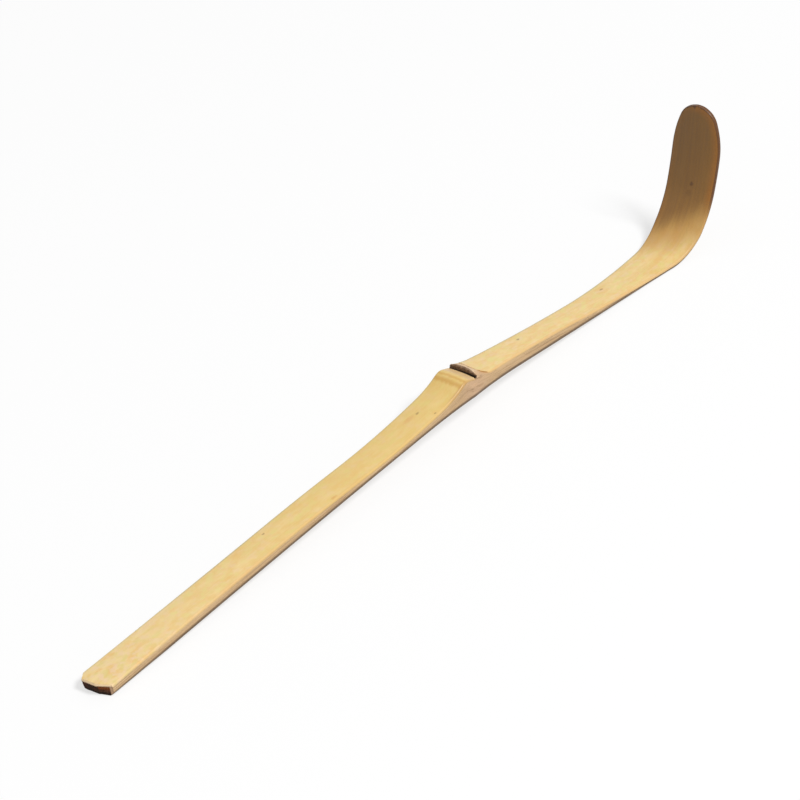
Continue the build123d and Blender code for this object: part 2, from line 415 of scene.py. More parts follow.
def rolled_grid(tree, sections, around):
    """Grid with a row for each ring, moved onto the rings, with their attributes."""
    points = add(tree, "GeometryNodeAttributeDomainSize", {0: sections}, component="MESH").outputs[0]
    columns = math_node(tree, "ADD", around, 1)
    rows = math_node(tree, "DIVIDE", points, around)
    sizes = {"Vertices X": rows, "Vertices Y": columns}
    mesh = add(tree, "GeometryNodeMeshGrid", sizes).outputs["Mesh"]
    index = add(tree, "GeometryNodeInputIndex").outputs[0]
    row = math_node(tree, "DIVIDE", math_node(tree, "ADD", index, 0.5), columns)
    row = math_node(tree, "FLOOR", row)
    column = math_node(tree, "SUBTRACT", index, math_node(tree, "MULTIPLY", row, columns))
    source = math_node(tree, "MULTIPLY_ADD", row, around, math_node(tree, "MODULO", column, around))

    def fetched(field, kind):
        inputs = {0: sections, "Value": field, "Index": source}
        node = add(tree, "GeometryNodeSampleIndex", inputs, data_type=kind, domain="POINT")
        return node.outputs[0]

    place = fetched(add(tree, "GeometryNodeInputPosition").outputs[0], "FLOAT_VECTOR")
    mesh = add(tree, "GeometryNodeSetPosition", {0: mesh, "Position": place}).outputs[0]
    for name, kind in ring_fields:
        inputs = {0: mesh, "Name": name, "Value": fetched(attribute_field(tree, name, kind), kind)}
        store = add(tree, "GeometryNodeStoreNamedAttribute", inputs, data_type=kind, domain="POINT")
        mesh = store.outputs[0]
    return mesh


print("rings carry", ", ".join(name for name, kind in ring_fields))

# %% Planing and crisp edges
plane_length, plane_width = 14.0, 0.7
crisp_angle = 38


def planed(tree, mesh, length, width, depth):
    """Take wood off along the fibres, in a pattern that is long one way and narrow the other."""
    size = add(tree, "ShaderNodeCombineXYZ", {0: length, 1: width, 2: width}).outputs[0]
    stretched = vector_node(tree, "DIVIDE", attribute_field(tree, "grain", "FLOAT_VECTOR"), size)
    inputs = {"Vector": stretched, "Scale": 1.0, "Detail": 3.0}
    noise = add(tree, "ShaderNodeTexNoise", inputs).outputs[0]
    cut = math_node(tree, "MULTIPLY", math_node(tree, "MULTIPLY", noise, depth), -mm)
    normal = add(tree, "GeometryNodeInputNormal").outputs[0]
    square = vector_node(tree, "MULTIPLY", normal, (0, 1, 1))
    offset = add(tree, "ShaderNodeVectorMath", {0: square, "Scale": cut}, operation="SCALE").outputs[0]
    return add(tree, "GeometryNodeSetPosition", {0: mesh, "Offset": offset}).outputs[0]


def crisp_edges(tree, mesh, limit):
    """Smooth shading, except along edges that bend by more than the limit."""
    angle = add(tree, "GeometryNodeInputMeshEdgeAngle").outputs[0]
    sharp = add(tree, "FunctionNodeCompare", {0: angle, 1: limit}, operation="GREATER_THAN").outputs[0]
    smooth = {0: mesh, "Shade Smooth": True}
    mesh = add(tree, "GeometryNodeSetShadeSmooth", smooth, domain="FACE").outputs[0]
    crisp = {0: mesh, "Selection": sharp, "Shade Smooth": False}
    return add(tree, "GeometryNodeSetShadeSmooth", crisp, domain="EDGE").outputs[0]


def finished(tree, mesh, material):
    """Plain mesh with its finish, as the last nodes of a tree."""
    mesh = add(tree, "GeometryNodeRealizeInstances", {0: mesh}).outputs[0]
    mesh = add(tree, "GeometryNodeSetMaterial", {0: mesh, "Material": material}).outputs[0]
    socket(tree, "Result", "Geometry", "OUTPUT")
    add(tree, "NodeGroupOutput", {0: mesh})


print("edges that bend by more than", crisp_angle, "degrees stay crisp")


# %% The tree for every stretch of the strip
def build_strip_tree():
    """Closed solid through rings of points, planed along its fibres."""
    tree = bpy.data.node_groups.new("strip_from_sections", "GeometryNodeTree")
    socket(tree, "Sections", "Geometry")
    socket(tree, "Points Around", "Int", default=40)
    socket(tree, "Plane Depth", "Float", default=0.0)
    socket(tree, "Plane Length", "Float", default=plane_length)
    socket(tree, "Plane Width", "Float", default=plane_width)
    socket(tree, "Crisp Angle", "Float", default=math.radians(crisp_angle))
    socket(tree, "Finish", "Material")
    given = add(tree, "NodeGroupInput").outputs
    mesh = rolled_grid(tree, given["Sections"], given["Points Around"])
    weld = 0.001 * mm
    mesh = add(tree, "GeometryNodeMergeByDistance", {0: mesh, "Distance": weld}).outputs[0]
    mesh = planed(tree, mesh, given["Plane Length"], given["Plane Width"], given["Plane Depth"])
    mesh = crisp_edges(tree, mesh, given["Crisp Angle"])
    finished(tree, mesh, given["Finish"])
    return tree


strip_tree = build_strip_tree()
print("tree", strip_tree.name, "has", len(strip_tree.nodes), "nodes")


# %% Run a tree and keep its plain mesh
def run_tree(tree, piece, **sizes):
    """Replace the mesh of a piece by what a tree makes of it, and leave nothing of the tree on it."""
    modifier = piece.modifiers.new("shape", "NODES")
    modifier.node_group = tree
    for item in tree.interface.items_tree:
        if item.in_out == "INPUT" and item.name in sizes:
            modifier[item.identifier] = sizes[item.name]
    depsgraph = bpy.context.evaluated_depsgraph_get()
    evaluated = piece.evaluated_get(depsgraph)
    plain = bpy.data.meshes.new_from_object(
        evaluated, preserve_all_data_layers=True, depsgraph=depsgraph)
    piece.modifiers.clear()
    piece.data = plain
    plain.name = piece.name
    return piece


def made_by(tree, name, mesh, **sizes):
    """New object with the mesh that a tree makes."""
    piece = bpy.data.objects.new(name, mesh)
    bpy.context.scene.collection.objects.link(piece)
    return run_tree(tree, piece, **sizes)


def outward(piece):
    """Turn all faces of a closed piece outwards, and count the edges that don't close."""
    work = bmesh.new()
    work.from_mesh(piece.data)
    bmesh.ops.recalc_face_normals(work, faces=work.faces)
    open_edges = sum(not edge.is_manifold for edge in work.edges)
    work.to_mesh(piece.data)
    work.free()
    print(piece.name, len(piece.data.polygons), "faces,", open_edges, "open edges")
    return piece


# %% Close the ends of a run of rings
end_steps = (1.0, 0.85, 0.6, 0.3, 0.08)
end_pull = 0.04


def facing(across_count, side_count):
    """For each point of a ring, the one that faces it across the middle of the section."""
    order = np.arange(2 * (across_count + side_count))
    top, far, under, near = np.split(order, np.cumsum([across_count, side_count, across_count]))
    return np.concatenate([under[::-1], far[::-1], top[::-1], near[::-1]])


def closed_ends(rows, partner):
    """Rings with further rings at both ends, in which the top and the underside meet."""
    ends = []
    for ring in (rows[0], rows[-1]):
        inner = ring + end_pull * (ring.mean(axis=0) - ring)
        middle = (inner + inner[partner]) / 2
        ends.append(np.array([inner + part * (middle - inner) for part in end_steps]))
    return np.concatenate([ends[0], rows, ends[1][::-1]])


def end_mask(rows):
    """One on the rings that close the first end, zero elsewhere."""
    mask = np.zeros(rows.shape[:2])
    mask[:len(end_steps)] = 1.0
    return mask


print("each end is closed by", len(end_steps), "more rings")


# %% Rings to a piece
def attach(mesh, name, values):
    """One of the ring attributes, with a value for every point of a mesh."""
    kind = dict(ring_fields)[name]
    key = "vector" if kind == "FLOAT_VECTOR" else "value"
    mesh.attributes.new(name, kind, "POINT").data.foreach_set(key, values.ravel())


def shell(name, places, grain, edge, end, finish, **sizes):
    """Closed piece through rings of places in millimetres from the butt."""
    mesh = bpy.data.meshes.new(name)
    points = (places.reshape(-1, 3) + [butt_x, 0, 0]) * mm
    mesh.vertices.add(len(points))
    mesh.vertices.foreach_set("co", points.ravel())
    attach(mesh, "grain", grain)
    attach(mesh, "edge", edge)
    attach(mesh, "end", end)
    sizes["Points Around"] = places.shape[1]
    return outward(made_by(strip_tree, name, mesh, Finish=finish, **sizes))


# %% Where one piece runs on into the next
tuck, tuck_shrink = 0.08, 0.985
step_fade = 3.0


def smooth(value):
    """Soft step from 0 to 1."""
    part = np.clip(value, 0, 1)
    return part * part * (3 - 2 * part)


def step_up(x):
    """How much higher the skin line stands behind the groove than the fibres that run on there."""
    return np.where(x < shoulder_x, 0, lip_rise * smooth(1 - (x - shoulder_x) / step_fade))


def tucked(line, rings):
    """A stretch with one more ring ahead of it, a little smaller, inside the piece before."""
    back = np.array([tuck * math.cos(line.heading[0]), tuck * math.sin(line.heading[0]), 0, tuck])
    first = [values[0] - step for values, step in zip(line, back)]
    middle = rings[0].mean(axis=0)
    line = Line(*[np.insert(values, 0, start) for values, start in zip(line, first)])
    return line, [middle + tuck_shrink * (rings[0] - middle), *rings]


print("a piece reaches", tuck, "mm into the one before it")

# %% Stretches of the strip
z_column, across_column, depth_column = 1, 5, 6


def strip_piece(name, line, rings, finish, edge_of, upright=True, shift=None, follows=False, **sizes):
    """Solid along a stretch of the skin line, with one ring for each of its points."""
    if follows:
        line, rings = tucked(line, rings)
    rings = np.array(rings)
    tilt = 0 * line.heading if upright else line.heading
    stations = np.stack([line.x, line.z, np.sin(tilt), -np.cos(tilt), line.along], axis=1)
    stations = np.repeat(stations[:, None, :], rings.shape[1], axis=1)
    rows = np.concatenate([stations, rings], axis=2)
    rows = closed_ends(rows, facing(top_points, side_points))
    x, z, down_x, down_z, along, across, depth = np.moveaxis(rows, 2, 0)
    if shift is not None:
        moved = x + shift(x, across, depth)
        along = along + moved - x
        z = np.interp(moved, line.x, line.z)
        x = moved
    places = np.stack([x + depth * down_x, across, z + depth * down_z], axis=2)
    grain = np.stack([along, across, depth - step_up(x)], axis=2)
    return shell(name, places, grain, edge_of(rows), end_mask(rows), finish, **sizes)


def from_sides(rows):
    """Distance of every point from the nearer side of the strip."""
    across = np.abs(rows[:, :, across_column])
    return across.max(axis=1, keepdims=True) - across


def from_back(rows):
    """Distance of every point from the back of the strip."""
    depth = rows[:, :, depth_column]
    return depth.max(axis=1, keepdims=True) - depth


# %% [markdown]
# ## Grain for the materials
# Bamboo has no growth rings. What shows is a bundle of long fibres: fine pale lines and broad
# soft clouds on the skin, and dark threads where a knife has opened the wood. One shader group
# makes them all from the grain attribute, so the same strand runs on from piece to piece, and
# each material gives it its own colours.


# %% Colours and soft noise
def tone(red, green, blue):
    """A colour as it is read off a screen, from 0 to 255, in the values that a shader needs."""
    parts = [value / 255 for value in (red, green, blue)]
    return (*[v / 12.92 if v <= 0.04045 else ((v + 0.055) / 1.055) ** 2.4 for v in parts], 1.0)


def ramped(tree, value, low, high, to_low=0.0, to_high=1.0):
    """Value mapped softly from one range to another."""
    inputs = {"Value": value, "From Min": low, "From Max": high, "To Min": to_low, "To Max": to_high}
    return add(tree, "ShaderNodeMapRange", inputs, interpolation_type="SMOOTHSTEP").outputs[0]


def noise_at(tree, vector, size, detail=3.0, roughness=0.5):
    """Soft noise with its own length along, across and into the strip, in millimetres."""
    scaled = vector_node(tree, "DIVIDE", vector, size)
    inputs = {"Vector": scaled, "Scale": 1.0, "Detail": detail, "Roughness": roughness}
    return add(tree, "ShaderNodeTexNoise", inputs).outputs[0]


# %% The shared grain group
def build_grain_group():
    """Masks of lines, clouds, mottle and threads that follow the strip."""
    tree = bpy.data.node_groups.new("bamboo_grain", "ShaderNodeTree")
    socket(tree, "Grain", "Vector")
    socket(tree, "Thread Depth", "Float", default=2.0)
    for name in ("Lines", "Clouds", "Mottle", "Threads"):
        socket(tree, name, "Float", "OUTPUT")
    given = add(tree, "NodeGroupInput").outputs
    grain = given["Grain"]
    lines = noise_at(tree, grain, (38.0, 0.22, 0.22), 4.0, 0.6)
    clouds = noise_at(tree, grain, (8.0, 2.4, 2.4), 3.0, 0.55)
    mottle = noise_at(tree, grain, (2.0, 0.9, 0.9), 4.0, 0.6)
    threads = noise_at(tree, grain, (17.0, 0.13, 0.13), 2.0, 0.5)
    depth = add(tree, "ShaderNodeSeparateXYZ", {0: grain}).outputs[2]
    crowd = ramped(tree, depth, 0.0, given["Thread Depth"], 0.04, -0.05)
    outputs = {
        "Lines": ramped(tree, lines, 0.35, 0.66),
        "Clouds": ramped(tree, clouds, 0.36, 0.66),
        "Mottle": ramped(tree, mottle, 0.38, 0.64),
        "Threads": ramped(tree, math_node(tree, "ADD", threads, crowd), 0.50, 0.62),
    }
    add(tree, "NodeGroupOutput", outputs)
    return tree


grain_group = build_grain_group()
print("shader group", grain_group.name, "has", len(grain_group.nodes), "nodes")


# %% The fleck group
def build_fleck_group():
    """Mask of one fleck at a place along and across the strip, with a ragged edge."""
    tree = bpy.data.node_groups.new("skin_fleck", "ShaderNodeTree")
    socket(tree, "Grain", "Vector")
    for name, default in (("Along", 0.0), ("Across", 0.0), ("Length", 1.0), ("Width", 0.4)):
        socket(tree, name, "Float", default=default)
    socket(tree, "Fleck", "Float", "OUTPUT")
    given = add(tree, "NodeGroupInput").outputs
    middle = add(tree, "ShaderNodeCombineXYZ", {0: given["Along"], 1: given["Across"]}).outputs[0]
    reach = add(tree, "ShaderNodeCombineXYZ", {0: given["Length"], 1: given["Width"], 2: 1e3}).outputs[0]
    away = vector_node(tree, "DIVIDE", vector_node(tree, "SUBTRACT", given["Grain"], middle), reach)
    away = add(tree, "ShaderNodeVectorMath", {0: away}, operation="LENGTH").outputs["Value"]
    ragged = noise_at(tree, given["Grain"], (0.35, 0.22, 0.22), 2.0)
    away = math_node(tree, "ADD", away, math_node(tree, "MULTIPLY_ADD", ragged, 0.8, -0.4))
    add(tree, "NodeGroupOutput", {"Fleck": ramped(tree, away, 0.25, 0.85, 1.0, 0.0)})
    return tree


fleck_group = build_fleck_group()
print("shader group", fleck_group.name, "has", len(fleck_group.nodes), "nodes")


# %% A material in the making
class Finish:
    """A material with its shader, its grain masks and the colour laid down so far."""

    def __init__(self, name, colour):
        self.material = bpy.data.materials.new(name)
        self.material.use_nodes = True
        self.tree = self.material.node_tree
        self.shader = self.tree.nodes["Principled BSDF"]
        self.grain = add(self.tree, "ShaderNodeAttribute", attribute_name="grain").outputs["Vector"]
        self.edge = add(self.tree, "ShaderNodeAttribute", attribute_name="edge").outputs["Fac"]
        self.end = add(self.tree, "ShaderNodeAttribute", attribute_name="end").outputs["Fac"]
        parts = add(self.tree, "ShaderNodeSeparateXYZ", {0: self.grain}).outputs
        self.along, self.across, self.depth = parts
        group = add(self.tree, "ShaderNodeGroup", node_tree=grain_group)
        self.tree.links.new(self.grain, group.inputs["Grain"])
        self.masks = group.outputs
        self.colour = colour

    def times(self, *values):
        """Several masks multiplied."""
        result = values[0]
        for value in values[1:]:
            result = math_node(self.tree, "MULTIPLY", result, value)
        return result

    def blend(self, value, low, high, to_low=0.0, to_high=1.0):
        """Mask that goes from one level to another as a value goes from low to high."""
        return ramped(self.tree, value, low, high, to_low, to_high)

    def fading(self, value, low, high):
        """Mask that goes from one to nothing as a value goes from low to high."""
        return self.blend(value, low, high, 1.0, 0.0)

    def near_side(self):
        """Mask of the half of the strip on the near side."""
        return self.blend(self.across, 0.0, -1.0)

    def far_side(self):
        """Mask of the half of the strip on the far side."""
        return self.blend(self.across, 0.0, 1.0)

    def noise(self, size, low=0.35, high=0.65):
        """Mask from noise of a given size."""
        return self.blend(noise_at(self.tree, self.grain, size), low, high)

    def stain(self, colour, mask, strength=1.0):
        """Lay a colour over what is there, where a mask says."""
        inputs = {"Factor": self.times(mask, strength), 6: self.colour, 7: colour}
        self.colour = add(self.tree, "ShaderNodeMix", inputs, data_type="RGBA").outputs[2]

    def fleck(self, colour, along, across, length, width, strength):
        """One fleck of colour at a place on the strip."""
        group = add(self.tree, "ShaderNodeGroup", node_tree=fleck_group)
        self.tree.links.new(self.grain, group.inputs["Grain"])
        for key, value in (("Along", along), ("Across", across), ("Length", length), ("Width", width)):
            group.inputs[key].default_value = value
        self.stain(colour, group.outputs[0], strength)

    def done(self, height, depth, rough_mask, rough_range, gloss=0.45):
        """Link the colour, a bump of one depth in millimetres, and the roughness, and set the gloss."""
        self.shader.inputs["Specular IOR Level"].default_value = gloss
        self.tree.links.new(self.colour, self.shader.inputs["Base Color"])
        bump = add(self.tree, "ShaderNodeBump", {"Height": height, "Distance": depth * mm})
        self.tree.links.new(bump.outputs[0], self.shader.inputs["Normal"])
        rough = self.blend(rough_mask, 0.0, 1.0, *rough_range)
        self.tree.links.new(rough, self.shader.inputs["Roughness"])
        print("finish", self.material.name, "has", len(self.tree.nodes), "nodes")
        return self.material


# %% [markdown]
# ## Skin of the handle and the stem
# The outer skin of the culm is hard, smooth and a warm straw gold, with amber and greenish clouds,
# pale lines along it and a few dark flecks. Along the far edge, which turns away from the lamp, a
# thin grey line is painted shade, and along the near edge the knife has eased it down to the wood.
# Clouds and blotches are noise of several sizes, each with a colour of its own. Flecks are put
# where they are by their own distance along and across the strip. A painted picture could hold all
# this too, but noise stays sharp close up.

# %% Skin colours and blotches
straw = tone(241, 211, 147)
amber = tone(229, 189, 114)
pale_straw = tone(244, 219, 163)
deep_straw = tone(224, 190, 108)
green_gold = tone(223, 201, 124)
orange_gold = tone(234, 190, 116)
green_straw = tone(229, 213, 134)
rose_straw = tone(240, 208, 168)
peach = tone(226, 182, 122)
# Painted shade: the grey of the far edge, which turns away from the lamp.
far_edge_shade = tone(196, 182, 138)
fleck_brown = tone(132, 92, 50)
rust = tone(212, 144, 74)
broad_blotches = ((green_gold, (5.0, 1.7, 1.7), (0.46, 0.66), 0.55),)
small_blotches = (
    (orange_gold, (3.2, 1.4, 1.4), (0.42, 0.68), 0.6),
    (green_straw, (2.6, 1.2, 1.2), (0.46, 0.7), 0.65),
    (rose_straw, (2.0, 1.5, 1.5), (0.48, 0.72), 0.5),
)


def blotched(skin, blotches, where=1.0):
    """Soft blotches, each with its colour, its size, the range of its noise and its strength."""
    for colour, size, spread, strength in blotches:
        skin.stain(colour, skin.times(skin.noise(size, *spread), where), strength)


print(len(broad_blotches) + len(small_blotches), "kinds of blotch lie on all the skin")

# %% Plain skin
far_edge_shade_width, peach_edge = (0.2, 0.6), (0.1, 0.6)
skin_relief = 0.012
skin_roughness = (0.36, 0.46)


def bamboo_skin(name):
    """The plain skin, before what only one stretch of it has."""
    skin = Finish(name, straw)
    skin.stain(amber, skin.masks["Clouds"], 0.7)
    blotched(skin, broad_blotches)
    skin.stain(pale_straw, skin.masks["Lines"], 0.35)
    skin.stain(amber, skin.masks["Mottle"], 0.26)
    blotched(skin, small_blotches)
    # Painted shade: a thin grey line along the far edge, on the side away from the lamp.
    skin.stain(far_edge_shade, skin.times(skin.far_side(), skin.fading(skin.edge, *far_edge_shade_width)), 0.9)
    skin.stain(peach, skin.times(skin.near_side(), skin.fading(skin.edge, *peach_edge)), 0.7)
    return skin


def skin_done(skin):
    """Fine relief and a satin sheen."""
    relief = math_node(skin.tree, "MULTIPLY_ADD", skin.masks["Lines"], 0.6, skin.masks["Mottle"])
    return skin.done(relief, skin_relief, skin.masks["Lines"], skin_roughness)


print("the skin has a relief of", skin_relief, "mm")

# %% Amber of the heat
tip_along, tip_end = tip_line.along[0], tip_line.along[-1]
heat_amber = tone(192, 144, 76)
amber_start, amber_end = tip_along - 1.0, tip_along + 9.0
# The slant is painted shade: the far side, turned from the lamp, darkens sooner.
shade_line_slant, heat_raggedness = 0.7, 0.8


def warmed(finish):
    """Amber that grows along the bend, sooner on the far side, where the slant is painted shade along
    the line where the bend turns from the lamp. Returns how far it has come.
    """
    # The slant across the strip is painted shade along the line where the bend turns from the lamp.
    shade_line_slanted = math_node(finish.tree, "MULTIPLY_ADD", finish.across, shade_line_slant, finish.along)
    ragged = math_node(finish.tree, "MULTIPLY_ADD", finish.masks["Clouds"], heat_raggedness, shade_line_slanted)
    finish.stain(heat_amber, finish.blend(ragged, amber_start, amber_end), 0.85)
    return ragged


print("amber from", round(amber_start, 1), "to", round(amber_end, 1), "mm along the skin")

# %% The dark end of the butt
end_brown = tone(58, 35, 19)
end_black = tone(24, 14, 8)
end_rust = tone(160, 84, 30)
end_umber = tone(132, 86, 60)
end_maroon = tone(98, 52, 32)
bare_wood = tone(240, 198, 160)
patch_length = 9.0
near_stroke, bare_side = (-0.7, -1.2), (-2.55, -2.7)
rusty_depth, black_depth = (0.9, 1.5), (1.7, 2.2)


def stained_end(finish):
    """End grain drinks in oil and tea: near black, rusty at the top of the near stroke."""
    def patches(width, height, low, high):
        return finish.noise((patch_length, width, height), low, high)

    end = finish.end
    near = finish.times(end, finish.blend(finish.across, *near_stroke))
    upper = finish.fading(finish.depth, *rusty_depth)
    finish.stain(end_brown, end)
    finish.stain(end_maroon, finish.times(end, patches(0.9, 0.7, 0.42, 0.58)), 0.8)
    finish.stain(end_umber, finish.times(near, patches(0.8, 0.5, 0.4, 0.6)), 0.8)
    finish.stain(end_rust, finish.times(near, upper, patches(0.7, 0.7, 0.3, 0.5)), 0.9)
    finish.stain(end_black, finish.times(end, patches(0.14, 0.14, 0.5, 0.6)), 0.6)
    finish.stain(end_black, finish.times(end, finish.blend(finish.depth, *black_depth)), 0.9)
    finish.stain(bare_wood, finish.times(end, finish.blend(finish.across, *bare_side)))


print("the cut end is black from", black_depth[0], "mm under the skin line")

# %% Finish of the handle's skin
end_line, end_line_depth = tone(248, 216, 172), (0.36, 0.46)
pale_stretch, deep_stretch, blotch_stretch = (40.0, 0.0), (25.0, 75.0), (34.0, 4.0)
butt_blotches = (
    (orange_gold, (3.4, 1.5, 1.5), (0.46, 0.66), 0.75),
    (green_gold, (2.4, 1.3, 1.3), (0.46, 0.66), 0.6),
    (rose_straw, (1.7, 1.3, 1.3), (0.46, 0.66), 0.75),
)
handle_flecks = (
    (fleck_brown, 46.9, 1.33, 0.6, 0.3, 0.55),
    (fleck_brown, 89.95, 0.25, 0.7, 0.4, 0.55),
    (fleck_brown, 91.75, -2.4, 0.5, 0.3, 0.55),
    (rust, 87.8, 0.55, 2.4, 0.8, 0.35),
    (rust, 62.1, -2.2, 1.4, 0.4, 0.45),
)


def deepened(skin):
    """Deeper straw towards the node."""
    skin.stain(deep_straw, skin.blend(skin.along, *deep_stretch), 0.45)


def handle_skin_look():
    """Pale and blotched by the butt, deeper towards the node, and dark on the cut end."""
    skin = bamboo_skin("handle_skin")
    skin.stain(pale_straw, skin.blend(skin.along, *pale_stretch), 0.45)
    deepened(skin)
    blotched(skin, butt_blotches, skin.blend(skin.along, *blotch_stretch))
    for fleck in handle_flecks:
        skin.fleck(*fleck)
    stained_end(skin)
    skin.stain(end_line, skin.times(skin.end, skin.fading(skin.depth, *end_line_depth)))
    return skin_done(skin)


handle_skin_finish = handle_skin_look()

# %% Finish of the stem's skin
front_brown = tone(196, 150, 98)
stem_flecks = (
    (fleck_brown, 123.1, 0.7, 0.8, 0.4, 0.6),
    (fleck_brown, 152.15, 1.2, 0.8, 0.35, 0.6),
)


def stem_skin_look():
    """Warm towards the bend, and brown on the edge that shows behind the groove."""
    skin = bamboo_skin("stem_skin")
    warmed(skin)
    for fleck in stem_flecks:
        skin.fleck(*fleck)
    skin.stain(front_brown, skin.end, 0.8)
    return skin_done(skin)


stem_skin_finish = stem_skin_look()

# %% [markdown]
# ## Skin of the node
# Under the crest two soft bands cross the strip, where the sheath once held the culm, and the
# shelf that falls behind the crest is a shade darker and duller. Bands that run across are masks
# on the length along the strip, with a little noise so that they waver.

# %% Ridge finish
olive_band = tone(206, 156, 76)
shelf_tan = tone(222, 186, 138)
ridge_edge, ridge_edge_width = tone(204, 160, 98), (0.25, 0.7)
ridge_start, swelling_reach = handle_line.along[-1], 4.0
crest_along = scar_along - shelf_run - crest_radius * math.radians(shelf_fall)
crest_bands, band_waver = ((-1.5, 0.9, 0.7), (-0.2, 0.6, 0.65)), 0.2
shelf_from, shelf_to = crest_along + 0.5, crest_along + 1.6


def band(finish, value, middle, reach):
    """Mask of a soft band round one value."""
    rise = finish.blend(value, middle - reach, middle)
    return finish.times(rise, finish.fading(value, middle, middle + reach))


def ridge_look():
    """Runs on from the handle, then deepens, with bands, a dull shelf and a tan near edge."""
    skin = bamboo_skin("ridge_skin")
    deepened(skin)
    swelling = skin.blend(skin.along, ridge_start, ridge_start + swelling_reach)
    skin.stain(deep_straw, skin.times(swelling, skin.masks["Mottle"]), 0.4)
    waver = math_node(skin.tree, "MULTIPLY_ADD", skin.masks["Mottle"], band_waver, skin.along)
    for place, reach, strength in crest_bands:
        skin.stain(olive_band, band(skin, waver, crest_along + place, reach), strength)
    skin.stain(shelf_tan, skin.blend(skin.along, shelf_from, shelf_to), 0.8)
    near_edge = skin.times(skin.near_side(), skin.fading(skin.edge, *ridge_edge_width))
    skin.stain(ridge_edge, skin.times(swelling, near_edge), 0.75)
    return skin_done(skin)


ridge_finish = ridge_look()

# %% [markdown]
# ## Cut wood
# Where the knife has opened the strip, the wood is a warm tan that turns pink at the node, with
# dark threads that crowd together near the skin and thin out towards the back. It is duller than
# the skin, and the two lower corners, which face down, carry painted shade. One finish serves all
# of it from the butt to the bend, so that no border shows where one piece of wood runs on into the next.

# %% Plain wood
wood_tan = tone(218, 181, 134)
wood_pale = tone(232, 198, 153)
thread_brown = tone(158, 120, 82)
near_skin, near_skin_depth = tone(230, 195, 146), (0.6, 1.4)
wood_relief = 0.03
wood_roughness, wood_gloss = (0.55, 0.95), 0.3


def bamboo_wood(name):
    """Cut wood, before what only one stretch of it has."""
    wood = Finish(name, wood_tan)
    wood.stain(wood_pale, wood.masks["Lines"], 0.5)
    wood.stain(near_skin, wood.fading(wood.depth, *near_skin_depth), 0.8)
    wood.stain(thread_brown, wood.masks["Threads"], 0.35)
    return wood


def wood_done(wood):
    """Open fibres: a coarser relief than the skin has, and a duller sheen."""
    relief = math_node(wood.tree, "SUBTRACT", wood.masks["Lines"], wood.masks["Threads"])
    open_grain = math_node(wood.tree, "MULTIPLY_ADD", wood.masks["Threads"], 0.3, wood.end)
    return wood.done(relief, wood_relief, open_grain, wood_roughness, wood_gloss)


print("the wood has a relief of", wood_relief, "mm")

# %% Finish of the wood
node_pink = tone(218, 180, 144)
node_pale = tone(240, 212, 174)
node_reach = 7.0
torn_size = (3.0, 0.3, 0.3)
bare_top_depth, bare_top_across = (0.4, 0.6), (-2.0, -0.8)
# Painted shade: dark brown on the lower corners, where the bevels face down.
lower_corner_shade, corner_shade_width = tone(92, 70, 50), (0.7, 1.2)


def cut_wood_look():
    """Wood from the butt to the bend: pink and torn at the node, with painted shade at the lower
    corners.
    """
    wood = bamboo_wood("cut_wood")
    warmed(wood)
    by_node = band(wood, wood.along, scar_along, node_reach)
    wood.stain(node_pink, by_node, 0.8)
    wood.stain(thread_brown, wood.times(by_node, wood.noise(torn_size, 0.52, 0.66)), 0.5)
    shallow = wood.fading(wood.depth, *bare_top_depth)
    bare_top = wood.times(shallow, wood.blend(wood.across, *bare_top_across))
    wood.stain(node_pale, wood.times(by_node, bare_top))
    # Painted shade along the two lower corners, which face down.
    wood.stain(lower_corner_shade, wood.fading(wood.edge, *corner_shade_width), 0.85)
    stained_end(wood)
    return wood_done(wood)


wood_finish = cut_wood_look()

# %% [markdown]
# ## Browned tip
# Heat opens the bend, and it browns the tip: gold at the start of the bend, a tea brown from
# there to the end, redder along the rim, with faint long streaks and a round spot near the middle,
# with a faint painted shadow beside the spot. The brown starts on a slant, sooner on the far side,
# along the line where the bend turns from the lamp, so there it is heat colour and painted shade
# at once. One function lays these colours over skin and wood alike, so that they start at one place.

# %% Colours of the heat
tip_brown = tone(150, 109, 54)
streak_brown, streak_size = tone(134, 95, 50), (15.0, 0.55, 0.55)
rim_glow, glow_width = tone(178, 116, 46), (0.3, 2.0)
glow_across, glow_least = (2.5, 0.0), 0.3
rim_brown, skin_rim, wood_rim = tone(74, 42, 22), 0.32, 0.6
# The brown starts where the shade line falls on the bend: heat colour and painted shade at once.
heat_and_shade_start, heat_and_shade_end = tip_along + 7.5, tip_along + 14.0


def browned(finish, rim_width):
    """Heat colour over a finish, growing along the bend from where the shade line falls, so partly
    painted shade, with a glow and a dark rim.
    """
    heat_and_shade = finish.blend(warmed(finish), heat_and_shade_start, heat_and_shade_end)
    finish.stain(tip_brown, heat_and_shade)
    finish.stain(streak_brown, finish.times(heat_and_shade, finish.noise(streak_size, 0.3, 0.7)), 0.5)
    glow_side = finish.blend(finish.across, *glow_across, glow_least, 1.0)
    glow = finish.times(heat_and_shade, glow_side, finish.fading(finish.edge, *glow_width))
    finish.stain(rim_glow, glow, 0.7)
    rim = finish.fading(finish.edge, 0.5 * rim_width, rim_width)
    finish.stain(rim_brown, finish.times(heat_and_shade, rim), 0.8)
    return finish


print("brown from", round(heat_and_shade_start, 1), "to", round(heat_and_shade_end, 1), "mm along the skin")

# %% Finishes of the tip
spot_brown = tone(80, 50, 28)
# The painted shade of the lower corners runs on into the tip and fades.
corner_shade_run, tip_corner_shade_width = 7.0, (0.35, 0.6)
tip_flecks = (
    (spot_brown, 186.65, -0.5, 0.8, 0.6, 0.6),
    # The faint second spot is a painted shadow of the round spot.
    (spot_brown, 184.75, -0.25, 1.3, 0.9, 0.22),
    (spot_brown, tip_end - 0.4, 0.8, 0.6, 0.5, 0.7),
)


